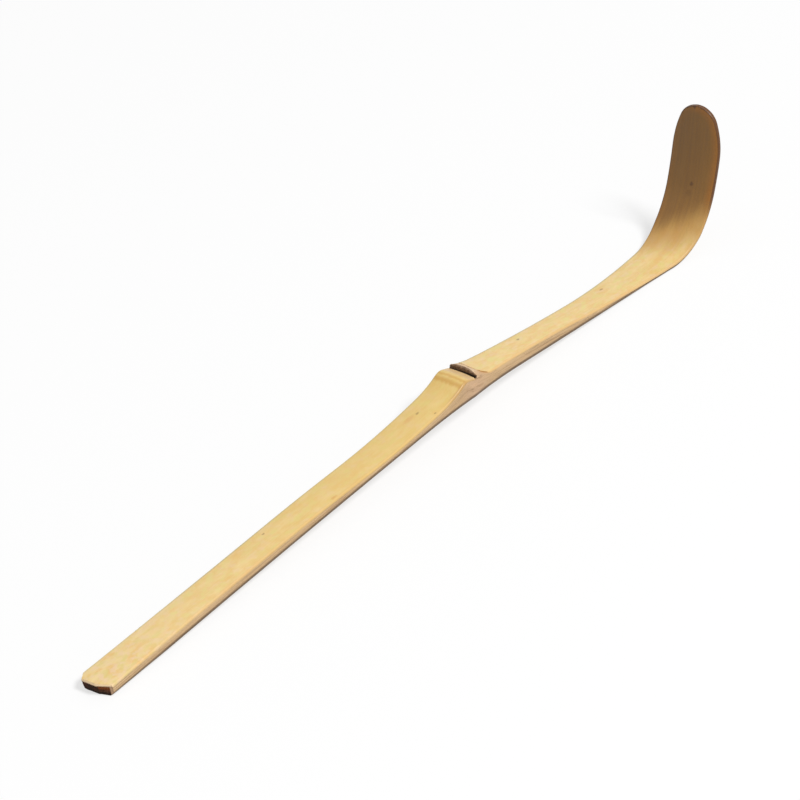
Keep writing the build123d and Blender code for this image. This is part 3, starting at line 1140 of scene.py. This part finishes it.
def tip_skin_look():
    """Browned skin with a round spot, a faint painted shadow beside it and a fleck at the nose."""
    skin = browned(bamboo_skin("browned_skin"), skin_rim)
    for fleck in tip_flecks:
        skin.fleck(*fleck)
    return skin_done(skin)


def tip_wood_look():
    """Browned wood, on which the painted shade at the stem's lower corners runs on and fades."""
    wood = browned(bamboo_wood("browned_wood"), wood_rim)
    fade = wood.fading(wood.along, tip_along, tip_along + corner_shade_run)
    # Painted shade at the lower corners, fading along the tip.
    wood.stain(lower_corner_shade, wood.times(fade, wood.fading(wood.edge, *tip_corner_shade_width)), 0.85)
    return wood_done(wood)


tip_skin_finish = tip_skin_look()
tip_wood_finish = tip_wood_look()

# %% [markdown]
# ## Scars of the node
# Where the sheath leaf stood, a groove of dark cork crosses the strip, with a grey-brown corky lip
# above it. On the back, the wall that closed the culm has been planed off and shows as a patch of
# darker pith. All three are dull and crumbly, so relief and sheen follow the same fine noise.


# %% Scar finishes
def crumbled(finish, crumb_size, relief, roughness):
    """Relief and sheen that both follow crumbs of one size."""
    crumbs = finish.noise(crumb_size)
    return finish.done(crumbs, relief, crumbs, roughness)


cork = Finish("dark_cork", tone(46, 32, 17))
cork.stain(tone(98, 70, 42), cork.noise((0.3, 0.3, 0.3), 0.45, 0.7), 0.7)
cork_finish = crumbled(cork, (0.12, 0.12, 0.12), 0.06, (0.8, 0.95))

lip_foot_tilt, lip_foot_depth = -0.07, (0.45, 0.65)
lip = Finish("lip_cork", tone(150, 119, 91))
lip.stain(tone(102, 77, 56), lip.noise((0.6, 0.4, 0.4)), 0.8)
lip.stain(tone(180, 150, 120), lip.noise((0.25, 0.25, 0.25), 0.5, 0.7), 0.35)
lip_foot = math_node(lip.tree, "MULTIPLY_ADD", lip.across, lip_foot_tilt, lip.depth)
lip.stain(tone(40, 27, 14), lip.blend(lip_foot, *lip_foot_depth), 0.95)
lip_finish = crumbled(lip, (0.16, 0.16, 0.16), 0.05, (0.7, 0.9))

pith = Finish("planed_pith", tone(206, 168, 124))
pith.stain(tone(150, 108, 70), pith.noise((0.25, 1.6, 0.6)), 0.7)
pith.stain(tone(108, 76, 48), pith.noise((0.2, 0.2, 0.2), 0.55, 0.7), 0.5)
pith_finish = crumbled(pith, (0.2, 0.5, 0.3), 0.05, (0.65, 0.85))

# %% [markdown]
# ## The handle
# The butt is cut with three strokes of the knife, and undercut, so that its top edge overhangs.
# The rings are made square first, and then pushed along the strip by the shape of that cut, most
# at the end itself. A cutting tool would break up the even rows that the grain follows. On the
# near side the knife has also eased the top edge.

# %% How far the near edge is eased
node_lead, node_fade = 5.0, 5.0
plain_ease, node_ease = 0.04, 0.32
plain_facet, node_facet = 0.35, 1.2


def at_node(x):
    """One at the node's shelf and scar, fading to nothing along the handle and the stem."""
    return smooth((x - node_x + node_lead) / node_lead) * smooth(1 - (x - shoulder_x) / node_fade)


def eased_in(x):
    """How far the top edge on the near side is taken in."""
    return plain_ease + node_ease * at_node(x)


def facet_depth(x):
    """Depth at which the near side is plumb."""
    return skin_thickness + plain_facet + node_facet * at_node(x) + step_up(x)


def near_half(x, depth):
    """Half width on the near side at one depth."""
    start = skin_thickness + step_up(x)
    part = np.clip(1 - (depth - start) / (facet_depth(x) - start), 0, 1)
    return plan_half(x) - eased_in(x) * part


print("the near edge is eased by", plain_ease, "to", plain_ease + node_ease, "mm")

# %% Rings along the handle, the node and the stem
back_bevel = 0.35
butt_bevel, far_butt_bevel, bevel_reach = 0.65, 1.6, 16.0


def skin_rings(line):
    """Rings of the skin along a stretch of skin line."""
    return [skin_ring(float(plan_half(x) - eased_in(x)), float(plan_half(x))) for x in line.x]


def under_skin(x, across):
    """Cover of wood that lies under skin."""
    return np.full_like(across, skin_thickness)


def wood_rings(line, cover=under_skin, recess=None):
    """Rings of the wood under a stretch of skin line."""
    rings = []
    for x, z in zip(line.x, line.z):
        half = float(plan_half(x))
        top = float(near_half(x, cover(x, np.array([-half]))[0]))
        hollow = None if recess is None else partial(recess, x)
        facet = float(facet_depth(x) + crown(half))
        back = float(z - back_height(x))
        plain_bevel = min(back_bevel, 0.5 * (back - skin_thickness - float(crown(half))))
        bevel = float(np.interp(x, (0, bevel_reach), (butt_bevel, plain_bevel)))
        far_bevel = float(np.interp(x, (0, bevel_reach), (far_butt_bevel, plain_bevel)))
        bed = partial(cover, x)
        rings.append(wood_ring(half, half, top, bed, facet, back, bevel, hollow, far_bevel))
    return rings


def from_corners(rows):
    """Distance of every point from the nearer of the two lower corners."""
    return np.maximum(2 * from_sides(rows), from_back(rows))


print("bevels of", butt_bevel, "mm at the butt narrow to", back_bevel, "mm on the back")

# %% Handle
cut_across = (-butt_half, -0.7, 2.1, butt_half)
cut_length = (1.97, 0.42, 0.2, 1.9)
under_across = (-butt_half, -1.0, 1.0, butt_half)
under_length = (0.4, 0.95, 0.95, 0.8)
cut_reach = 6.0
end_chamfer = 0.28


def butt_cut(x, across, depth):
    """How far the strokes, the undercut and the chamfer push a point along the strip."""
    strokes = np.interp(across, cut_across, cut_length)
    under = np.interp(across, under_across, under_length) * depth / butt_thickness
    chamfer = np.maximum(end_chamfer - depth, 0)
    return (strokes + under + chamfer) * np.clip(1 - x / cut_reach, 0, 1)


knife = {"Plane Depth": 0.05}
handle_skin = strip_piece(
    "scoop_handle_skin", handle_line, skin_rings(handle_line), handle_skin_finish, from_sides,
    shift=butt_cut)
handle_wood = strip_piece(
    "scoop_handle_wood", handle_line, wood_rings(handle_line), wood_finish, from_corners,
    shift=butt_cut, **knife)

# %% [markdown]
# ## The node
# The skin swells over a crest to a shelf that falls away, and stops at the groove. Behind the
# groove the stem's skin starts with a rounded corner on the near side, where the knife has taken
# it off the wood. The wood in between is one piece, with a bed for the cork, the lip and the skin.
# The beds are part of its rings, so nothing has to be cut out afterwards.

# %% Ridge and stem skin
skin_set, far_set = 2.2, 0.15
corner_from, corner_reach, corner_set = -0.8, 2.0, 1.5
front_fade = 8.0


def skin_front(across):
    """How far behind the groove the stem's skin starts."""
    corner = corner_set * (np.maximum(corner_from - across, 0) / corner_reach) ** 2
    return skin_set + far_set * np.maximum(across, 0) + corner


def front_cut(x, across, depth):
    """Push the start of the stem's skin back to its own outline."""
    return skin_front(across) * np.clip(1 - (x - shoulder_x) / front_fade, 0, 1)


node_ridge = strip_piece(
    "scoop_node_ridge", ridge_line, skin_rings(ridge_line), ridge_finish, from_sides, follows=True)
stem_skin = strip_piece(
    "scoop_stem_skin", whole_stem, skin_rings(whole_stem), stem_skin_finish, from_sides, shift=front_cut)

# %% Bed for the cork and the lip
scar_depth, cork_thickness = 0.5, 0.6
lip_depth = 1.2
bare_depth, bare_sink, bare_ramp = 0.05, 0.2, 1.6
bare_lap, lip_seat = 0.35, 0.15
groove_end = -2.6
lip_across = (groove_end, -1.2, 0.5, 2.4, 3.1)
lip_length = (0.25, 0.75, 1.1, 1.0, 0.45)


def lip_back(across):
    """How far behind the groove the lip ends."""
    return np.interp(across, lip_across, lip_length)


def bare_cover(behind, across):
    """Depth of bare wood behind the groove: flush, but low where the groove runs out."""
    near = smooth((corner_from - across) / bare_ramp)
    run_out = smooth((lip_across[1] - across) / (lip_across[1] - groove_end))
    return bare_depth + bare_sink * near + lip_rise * run_out * (1 - smooth(behind / bare_ramp))


def node_cover(x, across):
    """Depth of the node's wood under the skin line: under skin, cork, lip or nothing."""
    behind = x - shoulder_x
    if x < node_x:
        return under_skin(x, across)
    if behind < 0:
        return np.where(across > groove_end, scar_depth + cork_thickness, bare_depth + bare_sink)
    under_lip = (behind < lip_back(across) - lip_seat) & (across > groove_end + lip_seat)
    bare = bare_cover(behind, across)
    under = smooth((behind - skin_front(across)) / bare_lap)
    return np.where(under_lip, lip_depth, bare + (skin_thickness - bare) * under)


print("the groove is", scar_width, "mm wide and the lip up to", max(lip_length), "mm")

# %% Bed for the wall
wall_reach, wall_depth, wall_margin = 1.3, 0.6, 0.35


def wall_recess(x, across):
    """Shallow oval bed in the back, for what is left of the wall inside the culm."""
    reach = node_half - wall_margin
    left = 1 - ((x - node_x) / wall_reach) ** 2 - (across / reach) ** 2
    return wall_depth * np.sqrt(np.maximum(left, 0))


print("the bed of the wall is", 2 * wall_reach, "mm long and", wall_depth, "mm deep")

# %% Wood of the node and the stem
wall_step = 0.004
groove_x = np.array([node_x + wall_step, shoulder_x - wall_step])
groove_line = Line(groove_x, np.full(2, shelf_z), np.zeros(2), scar_along + groove_x - node_x)
node_line = Line(*[np.concatenate(parts) for parts in zip(ridge_line, groove_line, shoulder_line)])
node_rings = wood_rings(node_line, node_cover, wall_recess)
node_wood = strip_piece(
    "scoop_node_wood", node_line, node_rings, wood_finish, from_corners, follows=True, **knife)
stem_wood = strip_piece(
    "scoop_stem_wood", stem_line, wood_rings(stem_line), wood_finish, from_corners,
    follows=True, **knife)

# %% [markdown]
# ## Lip, cork and wall
# The lip is a crescent that lies across the strip, thick on the far side and running out on the
# near side. It stands a hair proud of the skin and overhangs the groove. Lip and cork are rings
# again, but one after the other across the strip. Crumbs of cork are scattered over both by a
# second tree, which sets small lumps on their upper faces, because the relief of a material alone
# would leave the outline of the lip smooth.

# %% Bars that lie across the strip
bar_points, bar_sides = 16, 8
skin_x = np.concatenate([handle_line.x, ridge_line.x, whole_stem.x])
skin_z = np.concatenate([handle_line.z, ridge_line.z, whole_stem.z])
skin_along = np.concatenate([handle_line.along, ridge_line.along, whole_stem.along])


def bar_ring(over, under):
    """Ring of a small bar, from its top and its underside."""
    front = eased([over[-1], under[0]], bar_sides)
    back = eased([under[-1], over[0]], bar_sides)
    return np.concatenate([over, front, under, back])


def bar_across(name, across, front, back, top, base, finish, **sizes):
    """Solid with a ring for each place across the strip, between its front and its back."""
    part = np.linspace(0, 1, bar_points)
    rows = []
    for y, start, end in zip(across, front, back):
        over = np.stack([start + (end - start) * part, top(part, y)], axis=1)
        under = np.stack([over[:, 0], np.broadcast_to(base, bar_points)], axis=1)[::-1]
        rows.append(np.insert(bar_ring(over, under), 1, y, axis=1))
    rows = closed_ends(np.array(rows), facing(bar_points, bar_sides))
    x, y, depth = np.moveaxis(rows, 2, 0)
    places = np.stack([x, y, np.interp(x, skin_x, skin_z) - crown(y) - depth], axis=2)
    grain = np.stack([np.interp(x, skin_x, skin_along), y, depth], axis=2)
    return shell(name, places, grain, 0 * x, end_mask(rows), finish, **sizes)


print("a bar has", 2 * (bar_points + bar_sides), "points in a ring")

# %% Lip
lip_sections = 70
lip_rows = np.linspace(lip_across[0], lip_across[-1], lip_sections)
lip_overhang = 0.08
lip_profile = (0.0, 0.1, 0.35, 1.0)
lip_swell = (0.1, -0.1, -0.16, -0.04)
lip_near_drop, lip_near_run = 0.4, 2.2
lip_far_drop, lip_far_run = 0.35, 0.9


def lip_top(part, y):
    """Depth of the lip from front to back, lower at its two ends."""
    near_drop = lip_near_drop * (1 - smooth((y - lip_across[0]) / lip_near_run))
    far_drop = lip_far_drop * (1 - smooth((lip_across[-1] - y) / lip_far_run))
    return np.interp(part, lip_profile, lip_swell) + near_drop + far_drop


lip_start = np.full_like(lip_rows, shoulder_x - lip_overhang)
crumbly = {"Plane Depth": 0.06, "Plane Length": 0.5, "Plane Width": 0.5}
lip_end = shoulder_x + lip_back(lip_rows)
scar_lip = bar_across(
    "scoop_scar_lip", lip_rows, lip_start, lip_end, lip_top, lip_depth, lip_finish, **crumbly)

# %% Cork in the groove
cork_sections, cork_margin = 60, 0.06
cork_dish, cork_climb = 0.1, 0.3
cork_rows = np.linspace(groove_end, node_half - cork_margin, cork_sections)


def cork_top(part, y):
    """Depth of the dished floor of the groove, less towards the far side."""
    climb = cork_climb * smooth((y - groove_end) / (node_half - groove_end))
    return scar_depth - climb + cork_dish * np.sin(math.pi * part) + lip_rise * part


cork_start = np.full_like(cork_rows, node_x)
cork_base = scar_depth + cork_thickness + lip_rise * np.linspace(0, 1, bar_points)
sheath_scar = bar_across(
    "scoop_sheath_scar", cork_rows, cork_start, cork_start + scar_width, cork_top, cork_base,
    cork_finish, **crumbly)

# %% Wall on the back
wall_sections, wall_sweep = 41, 0.49 * math.pi
wall_angle = np.linspace(-1, 1, wall_sections) * wall_sweep
wall_rings = []
for x, width in zip(node_x + wall_reach * np.sin(wall_angle), np.cos(wall_angle)):
    reach = (node_half - wall_margin) * width
    across = np.linspace(-reach, reach, bar_points)
    over = np.stack([across, wall_recess(x, across)], axis=1)
    under = np.stack([across[::-1], np.zeros(bar_points)], axis=1)
    wall_rings.append(np.insert(bar_ring(over, under), 0, x, axis=1))
wall_rows = closed_ends(np.array(wall_rings), facing(bar_points, bar_sides))
wall_x, wall_y, wall_rise = np.moveaxis(wall_rows, 2, 0)
wall_places = np.stack([wall_x, wall_y, back_height(wall_x) + wall_rise], axis=2)
diaphragm_scar = shell(
    "scoop_diaphragm_scar", wall_places, wall_rows, 0 * wall_x, end_mask(wall_rows), pith_finish)

# %% Lumps on a surface
least_level = 0.2
lump_least, lump_most = (0.5, 0.6, 0.3), (1.3, 1.4, 0.7)


def build_crumb_tree():
    """Small lumps scattered over the upper faces of a piece, joined to it."""
    tree = bpy.data.node_groups.new("cork_crumbs", "GeometryNodeTree")
    socket(tree, "Ground", "Geometry")
    socket(tree, "Crumbs per mm2", "Float", default=20.0)
    socket(tree, "Crumb Radius", "Float", default=0.06)
    socket(tree, "Seed", "Int", default=5)
    socket(tree, "Finish", "Material")
    given = add(tree, "NodeGroupInput").outputs
    normal = add(tree, "GeometryNodeInputNormal").outputs[0]
    height = add(tree, "ShaderNodeSeparateXYZ", {0: normal}).outputs[2]
    inputs = {0: height, 1: least_level}
    upper = add(tree, "FunctionNodeCompare", inputs, operation="GREATER_THAN").outputs[0]
    density = math_node(tree, "DIVIDE", given["Crumbs per mm2"], mm**2)
    inputs = {0: given["Ground"], "Selection": upper, "Density": density, "Seed": given["Seed"]}
    points = add(tree, "GeometryNodeDistributePointsOnFaces", inputs).outputs["Points"]
    radius = math_node(tree, "MULTIPLY", given["Crumb Radius"], mm)
    lump = add(tree, "GeometryNodeMeshIcoSphere", {"Radius": radius, "Subdivisions": 1}).outputs["Mesh"]
    spread = {0: lump_least, 1: lump_most, "Seed": given["Seed"]}
    size = add(tree, "FunctionNodeRandomValue", spread, data_type="FLOAT_VECTOR").outputs[0]
    inputs = {"Points": points, "Instance": lump, "Scale": size}
    lumps = add(tree, "GeometryNodeInstanceOnPoints", inputs).outputs[0]
    both = add(tree, "GeometryNodeJoinGeometry")
    tree.links.new(lumps, both.inputs[0])
    tree.links.new(given["Ground"], both.inputs[0])
    finished(tree, both.outputs[0], given["Finish"])
    return tree


crumb_tree = build_crumb_tree()
print("tree", crumb_tree.name, "has", len(crumb_tree.nodes), "nodes")

# %% Crumbs of cork
run_tree(crumb_tree, scar_lip, Finish=lip_finish, Seed=5)
run_tree(crumb_tree, sheath_scar, Finish=cork_finish, Seed=8)
for piece in (scar_lip, sheath_scar):
    outward(piece)

# %% [markdown]
# ## The tip
# The tip is the small blade that lifts the tea. It is thin, and its rim is rounded all the way
# round. Its rings stand square to the skin line, so they turn with the bend. They close up towards
# the nose, and stand closer together there so that the round outline stays smooth. A flat blade
# could be bent by a modifier, but the outline of this one is known as it looks from the butt.

# %% Stations and thickness of the tip
nose_stretch = 6.0
rim_round = 0.3
nose_flat = 0.3
tip_thinning, thinning_reach = 0.2, 1.5
tip_spacing, nose_sections = 0.3, 40
even = np.arange(tip_along, tip_end - nose_stretch, tip_spacing)
close = tip_end - nose_stretch * (1 - np.sin(np.linspace(0, math.pi / 2, nose_sections)))
tip_at = np.concatenate([even, close[close > even[-1] + tip_spacing / 3]])
tip_stations = Line(*[np.interp(tip_at, tip_line.along, values) for values in tip_line])
to_end = np.maximum(tip_end - tip_at, 1e-3)
tip_halves = np.minimum(plan_half(tip_stations.x), front_half(tip_stations.z))
tip_halves = np.maximum(tip_halves, nose_flat)
rim_part = np.clip(1 - to_end / rim_round, 0, 1)
rim_drop = rim_round * (1 - np.sqrt(1 - rim_part**2))
tip_back = blade_thickness - tip_thinning * np.maximum(thinning_reach - to_end, 0) - 0.5 * rim_drop
print("the tip has", len(tip_at), "sections")

# %% Tip
rim_ease, ease_fade = 0.25, 6.0
outline_points = 400


def from_rim(rows):
    """Distance of every point from the outline of the tip, round its nose too."""
    z, across = rows[:, :, z_column], np.abs(rows[:, :, across_column])
    outline_z = np.linspace(shoulder_z, tip_height, outline_points)
    gap = np.hypot(across[..., None] - front_half(outline_z), z[..., None] - outline_z).min(axis=2)
    sides = from_sides(rows)
    return np.where(z > shoulder_z, np.minimum(gap, sides), sides)


tip_skin_rings = []
tip_wood_rings = []
for along, half, drop, back in zip(tip_at, tip_halves.tolist(), rim_drop.tolist(), tip_back.tolist()):
    fade = float(np.clip(1 - (along - tip_along) / ease_fade, 0, 1))
    near = half - min(plain_ease * fade, 0.2 * half)
    near_soft = rim_ease + (near_round - rim_ease) * fade
    far_soft = rim_ease + (far_round - rim_ease) * fade
    tip_skin_rings.append(skin_ring(near, half, 0.5 * drop, near_soft, far_soft))
    spare = back - skin_thickness - float(crown(half))
    bevel = min(back_bevel, 0.5 * spare, 0.45 * half)
    facet = skin_thickness + plain_facet * fade + float(crown(half))
    tip_wood_rings.append(wood_ring(half, half, near, partial(under_skin, 0), facet, back, bevel))
turned = {"upright": False, "follows": True}
tip_skin = strip_piece(
    "scoop_tip_skin", tip_stations, tip_skin_rings, tip_skin_finish, from_rim, **turned)
tip_wood = strip_piece(
    "scoop_tip_wood", tip_stations, tip_wood_rings, tip_wood_finish, from_rim, **turned)

# %% [markdown]
# ## Fibres on the cut sides
# A knife leaves a few fibres standing a hair proud of the cut. Each one is a line that follows the
# side of the strip at one depth under the skin. The lines are drawn as loose edges, and a tree
# turns them into thin strands that taper to both ends. Hair could stand for them too, but other
# programs only take over the mesh.

# %% Strands along lines
strand_end = 0.15


def build_strand_tree():
    """Strands that taper to both ends, one for each line of edges."""
    tree = bpy.data.node_groups.new("lifted_fibres", "GeometryNodeTree")
    socket(tree, "Lines", "Geometry")
    socket(tree, "Strand Radius", "Float", default=0.03)
    socket(tree, "Finish", "Material")
    given = add(tree, "NodeGroupInput").outputs
    curve = add(tree, "GeometryNodeMeshToCurve", {0: given["Lines"]}).outputs[0]
    radius = math_node(tree, "MULTIPLY", given["Strand Radius"], mm)
    circle = {"Resolution": 6, "Radius": radius}
    profile = add(tree, "GeometryNodeCurvePrimitiveCircle", circle).outputs["Curve"]
    part = add(tree, "GeometryNodeSplineParameter").outputs["Factor"]
    swell = math_node(tree, "SINE", math_node(tree, "MULTIPLY", part, math.pi))
    scale = math_node(tree, "MULTIPLY_ADD", swell, 1 - strand_end, strand_end)
    inputs = {"Curve": curve, "Profile Curve": profile, "Scale": scale, "Fill Caps": True}
    mesh = add(tree, "GeometryNodeCurveToMesh", inputs).outputs[0]
    finished(tree, mesh, given["Finish"])
    return tree


strand_tree = build_strand_tree()
print("tree", strand_tree.name, "has", len(strand_tree.nodes), "nodes")

# %% Lines on the sides
strand_count, strand_points = 170, 14
strand_starts, strand_lengths, strand_shares = (5, bend_x - 24), (5, 20), (0.12, 0.85)
strand_sink = 0.045
groove_margin, groove_reach = 0.3, 1.3
chance = np.random.default_rng(11)
strand_start = chance.uniform(*strand_starts, strand_count)
strand_length = chance.uniform(*strand_lengths, strand_count)
strand_share = chance.uniform(*strand_shares, strand_count)
strand_side = chance.choice([-1, 1], strand_count)
strand_x = strand_start[:, None] + strand_length[:, None] * np.linspace(0, 1, strand_points)
strand_top = np.interp(strand_x, skin_x, skin_z)
room = strand_top - back_height(strand_x) - skin_thickness - 2 * back_bevel
strand_depth = skin_thickness + strand_share[:, None] * room
strand_half = np.where(strand_side[:, None] < 0, near_half(strand_x, strand_depth), plan_half(strand_x))
strand_y = strand_side[:, None] * (strand_half - strand_sink)
strand_z = strand_top - crown(strand_y) - strand_depth
by_groove = (strand_x > node_x - groove_margin) & (strand_x < shoulder_x + groove_margin)
kept = ~(by_groove & (strand_depth < groove_reach)).any(axis=1)
print(int(kept.sum()), "of", strand_count, "strands clear the groove")

# %% Strands
strand_places = np.stack([strand_x + butt_x, strand_y, strand_z], axis=2)[kept].reshape(-1, 3) * mm
strand_grain = np.stack([np.interp(strand_x, skin_x, skin_along), strand_y, strand_depth], axis=2)[kept]
first = np.arange(kept.sum())[:, None] * strand_points + np.arange(strand_points - 1)
strand_edges = np.stack([first, first + 1], axis=2).reshape(-1, 2)
strand_mesh = bpy.data.meshes.new("fibre_lines")
strand_mesh.from_pydata(strand_places.tolist(), strand_edges.tolist(), [])
attach(strand_mesh, "grain", strand_grain)
fibre = Finish("lifted_fibre", wood_tan)
fibre.stain(thread_brown, fibre.noise((6.0, 0.1, 0.1), 0.4, 0.6), 0.8)
fibre.stain(wood_pale, fibre.masks["Lines"], 0.4)
fibre_finish = fibre.done(fibre.masks["Mottle"], 0.01, fibre.masks["Mottle"], (0.5, 0.65))
wood_fibres = outward(made_by(strand_tree, "scoop_wood_fibres", strand_mesh, Finish=fibre_finish))

# %% [markdown]
# ## Floor, light and camera
# A plain pale floor keeps the shadow. One large soft lamp stands on the near side and above, so
# that the long skin is lit evenly while the hollow of the tip stays in shade, and a dim sky fills
# in. Where the camera looks, the floor is part paper and part plain white, so that its shadow is
# light. Seen from below it is clear, so that the back of the scoop can be looked at. The place of
# the camera was found by fitting its view to the outline of the scoop in the photograph.


# %% What the camera sees
def seen_mask(tree):
    """One where the camera, a reflection or a view through glass looks, and zero elsewhere."""
    path = add(tree, "ShaderNodeLightPath").outputs
    seen = math_node(tree, "MAXIMUM", path["Is Camera Ray"], path["Is Glossy Ray"])
    return math_node(tree, "MAXIMUM", seen, path["Is Transmission Ray"])


# %% Floor
floor_half = 3.0
floor_grey = 0.5
floor_white_share = 0.68
floor_mesh = bpy.data.meshes.new("floor")
corners = [(x * floor_half, y * floor_half, 0) for x, y in ((-1, -1), (1, -1), (1, 1), (-1, 1))]
floor_mesh.from_pydata(corners, [], [(0, 1, 2, 3)])
floor = bpy.data.objects.new("floor", floor_mesh)
bpy.context.scene.collection.objects.link(floor)

paper = bpy.data.materials.new("floor_paper")
paper.use_nodes = True
paper_tree = paper.node_tree
paper_shader = paper_tree.nodes["Principled BSDF"]
paper_shader.inputs["Roughness"].default_value = 1.0
paper_shader.inputs["Specular IOR Level"].default_value = 0.0
seen = seen_mask(paper_tree)
grey, white = (floor_grey, floor_grey, floor_grey, 1), (1, 1, 1, 1)
paper_colour = add(paper_tree, "ShaderNodeMix", {"Factor": seen, 6: grey, 7: white}, data_type="RGBA")
paper_tree.links.new(paper_colour.outputs[2], paper_shader.inputs["Base Color"])
glow = add(paper_tree, "ShaderNodeEmission", {"Color": white, "Strength": 1.0})
share = math_node(paper_tree, "MULTIPLY", seen, floor_white_share)
both = {0: share, 1: paper_shader.outputs[0], 2: glow.outputs[0]}
mixed = add(paper_tree, "ShaderNodeMixShader", both)
below = add(paper_tree, "ShaderNodeNewGeometry").outputs["Backfacing"]
clear = add(paper_tree, "ShaderNodeBsdfTransparent").outputs[0]
one_way = add(paper_tree, "ShaderNodeMixShader", {0: below, 1: mixed.outputs[0], 2: clear})
paper_tree.links.new(one_way.outputs[0], paper_tree.nodes["Material Output"].inputs["Surface"])
floor_mesh.materials.append(paper)
print("floor is", 2 * floor_half, "m wide")

# %% Sky
sky_level = 0.3
sky = bpy.data.worlds.new("studio")
bpy.context.scene.world = sky
sky.use_nodes = True
sky_shader = sky.node_tree.nodes["Background"]
sky_shader.inputs["Color"].default_value = (1, 1, 1, 1)
sky_strength = ramped(sky.node_tree, seen_mask(sky.node_tree), 0.0, 1.0, sky_level, 1.0)
sky.node_tree.links.new(sky_strength, sky_shader.inputs["Strength"])
print("sky at", sky_level)

# %% Lamp
key_direction = Vector((0.03, -0.54, 0.84)).normalized()
key_distance = 2.5
key_spread = math.radians(9)
key_level = 0.83
key = bpy.data.lights.new("key", "AREA")
key.shape = "DISK"
key.size = 2 * key_distance * math.tan(key_spread)
key.energy = key_level * (math.pi * key_distance) ** 2
key_lamp = bpy.data.objects.new("key", key)
key_lamp.location = key_direction * key_distance
key_lamp.rotation_euler = key_direction.to_track_quat("Z", "Y").to_euler()
bpy.context.scene.collection.objects.link(key_lamp)
print("lamp of", round(key.energy, 1), "W,", round(key.size, 2), "m across")

# %% Camera
view_azimuth, view_elevation = math.radians(-53.894), math.radians(33.188)
view_distance = 0.6
view_target = Vector((84.247 + butt_x, -0.067, 12.507)) * mm
focal_pixels, picture_width = 3424.14, 800
toward_camera = Vector((
    math.sin(view_azimuth) * math.cos(view_elevation),
    -math.cos(view_azimuth) * math.cos(view_elevation),
    math.sin(view_elevation),
))
camera_data = bpy.data.cameras.new("camera")
camera_data.sensor_width = 36.0
camera_data.lens = focal_pixels / picture_width * camera_data.sensor_width
camera_data.clip_start = 0.01
camera = bpy.data.objects.new("camera", camera_data)
camera.location = view_target + toward_camera * view_distance
camera.rotation_euler = toward_camera.to_track_quat("Z", "Y").to_euler()
bpy.context.scene.collection.objects.link(camera)
bpy.context.scene.camera = camera
bpy.context.scene.view_settings.view_transform = "Standard"
print("camera lens", round(camera_data.lens, 1), "mm")

# %% [markdown]
# ## Join the pieces to the frame
# Each piece rides on the one rigid body of the scoop and stands for a node of the solid model,
# which is then hidden. The fibres stand for nothing and only ride along.

# %% Pieces and nodes
stands_for = {
    handle_skin: ("handle_skin", "skin"),
    handle_wood: ("handle_wood", "wood"),
    node_ridge: ("node_ridge", "ridge_skin"),
    node_wood: ("node_wood", "wood"),
    sheath_scar: ("sheath_scar", "cork"),
    scar_lip: ("scar_lip", "lip_cork"),
    diaphragm_scar: ("diaphragm_scar", "pith"),
    stem_skin: ("stem_skin", "skin"),
    stem_wood: ("stem_wood", "wood"),
    tip_skin: ("tip_skin", "browned_skin"),
    tip_wood: ("tip_wood", "browned_wood"),
}
for piece, (node, slot) in stands_for.items():
    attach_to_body(piece, "root")
    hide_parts(node)
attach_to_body(wood_fibres, "root")
print(len(stands_for), "nodes replaced")
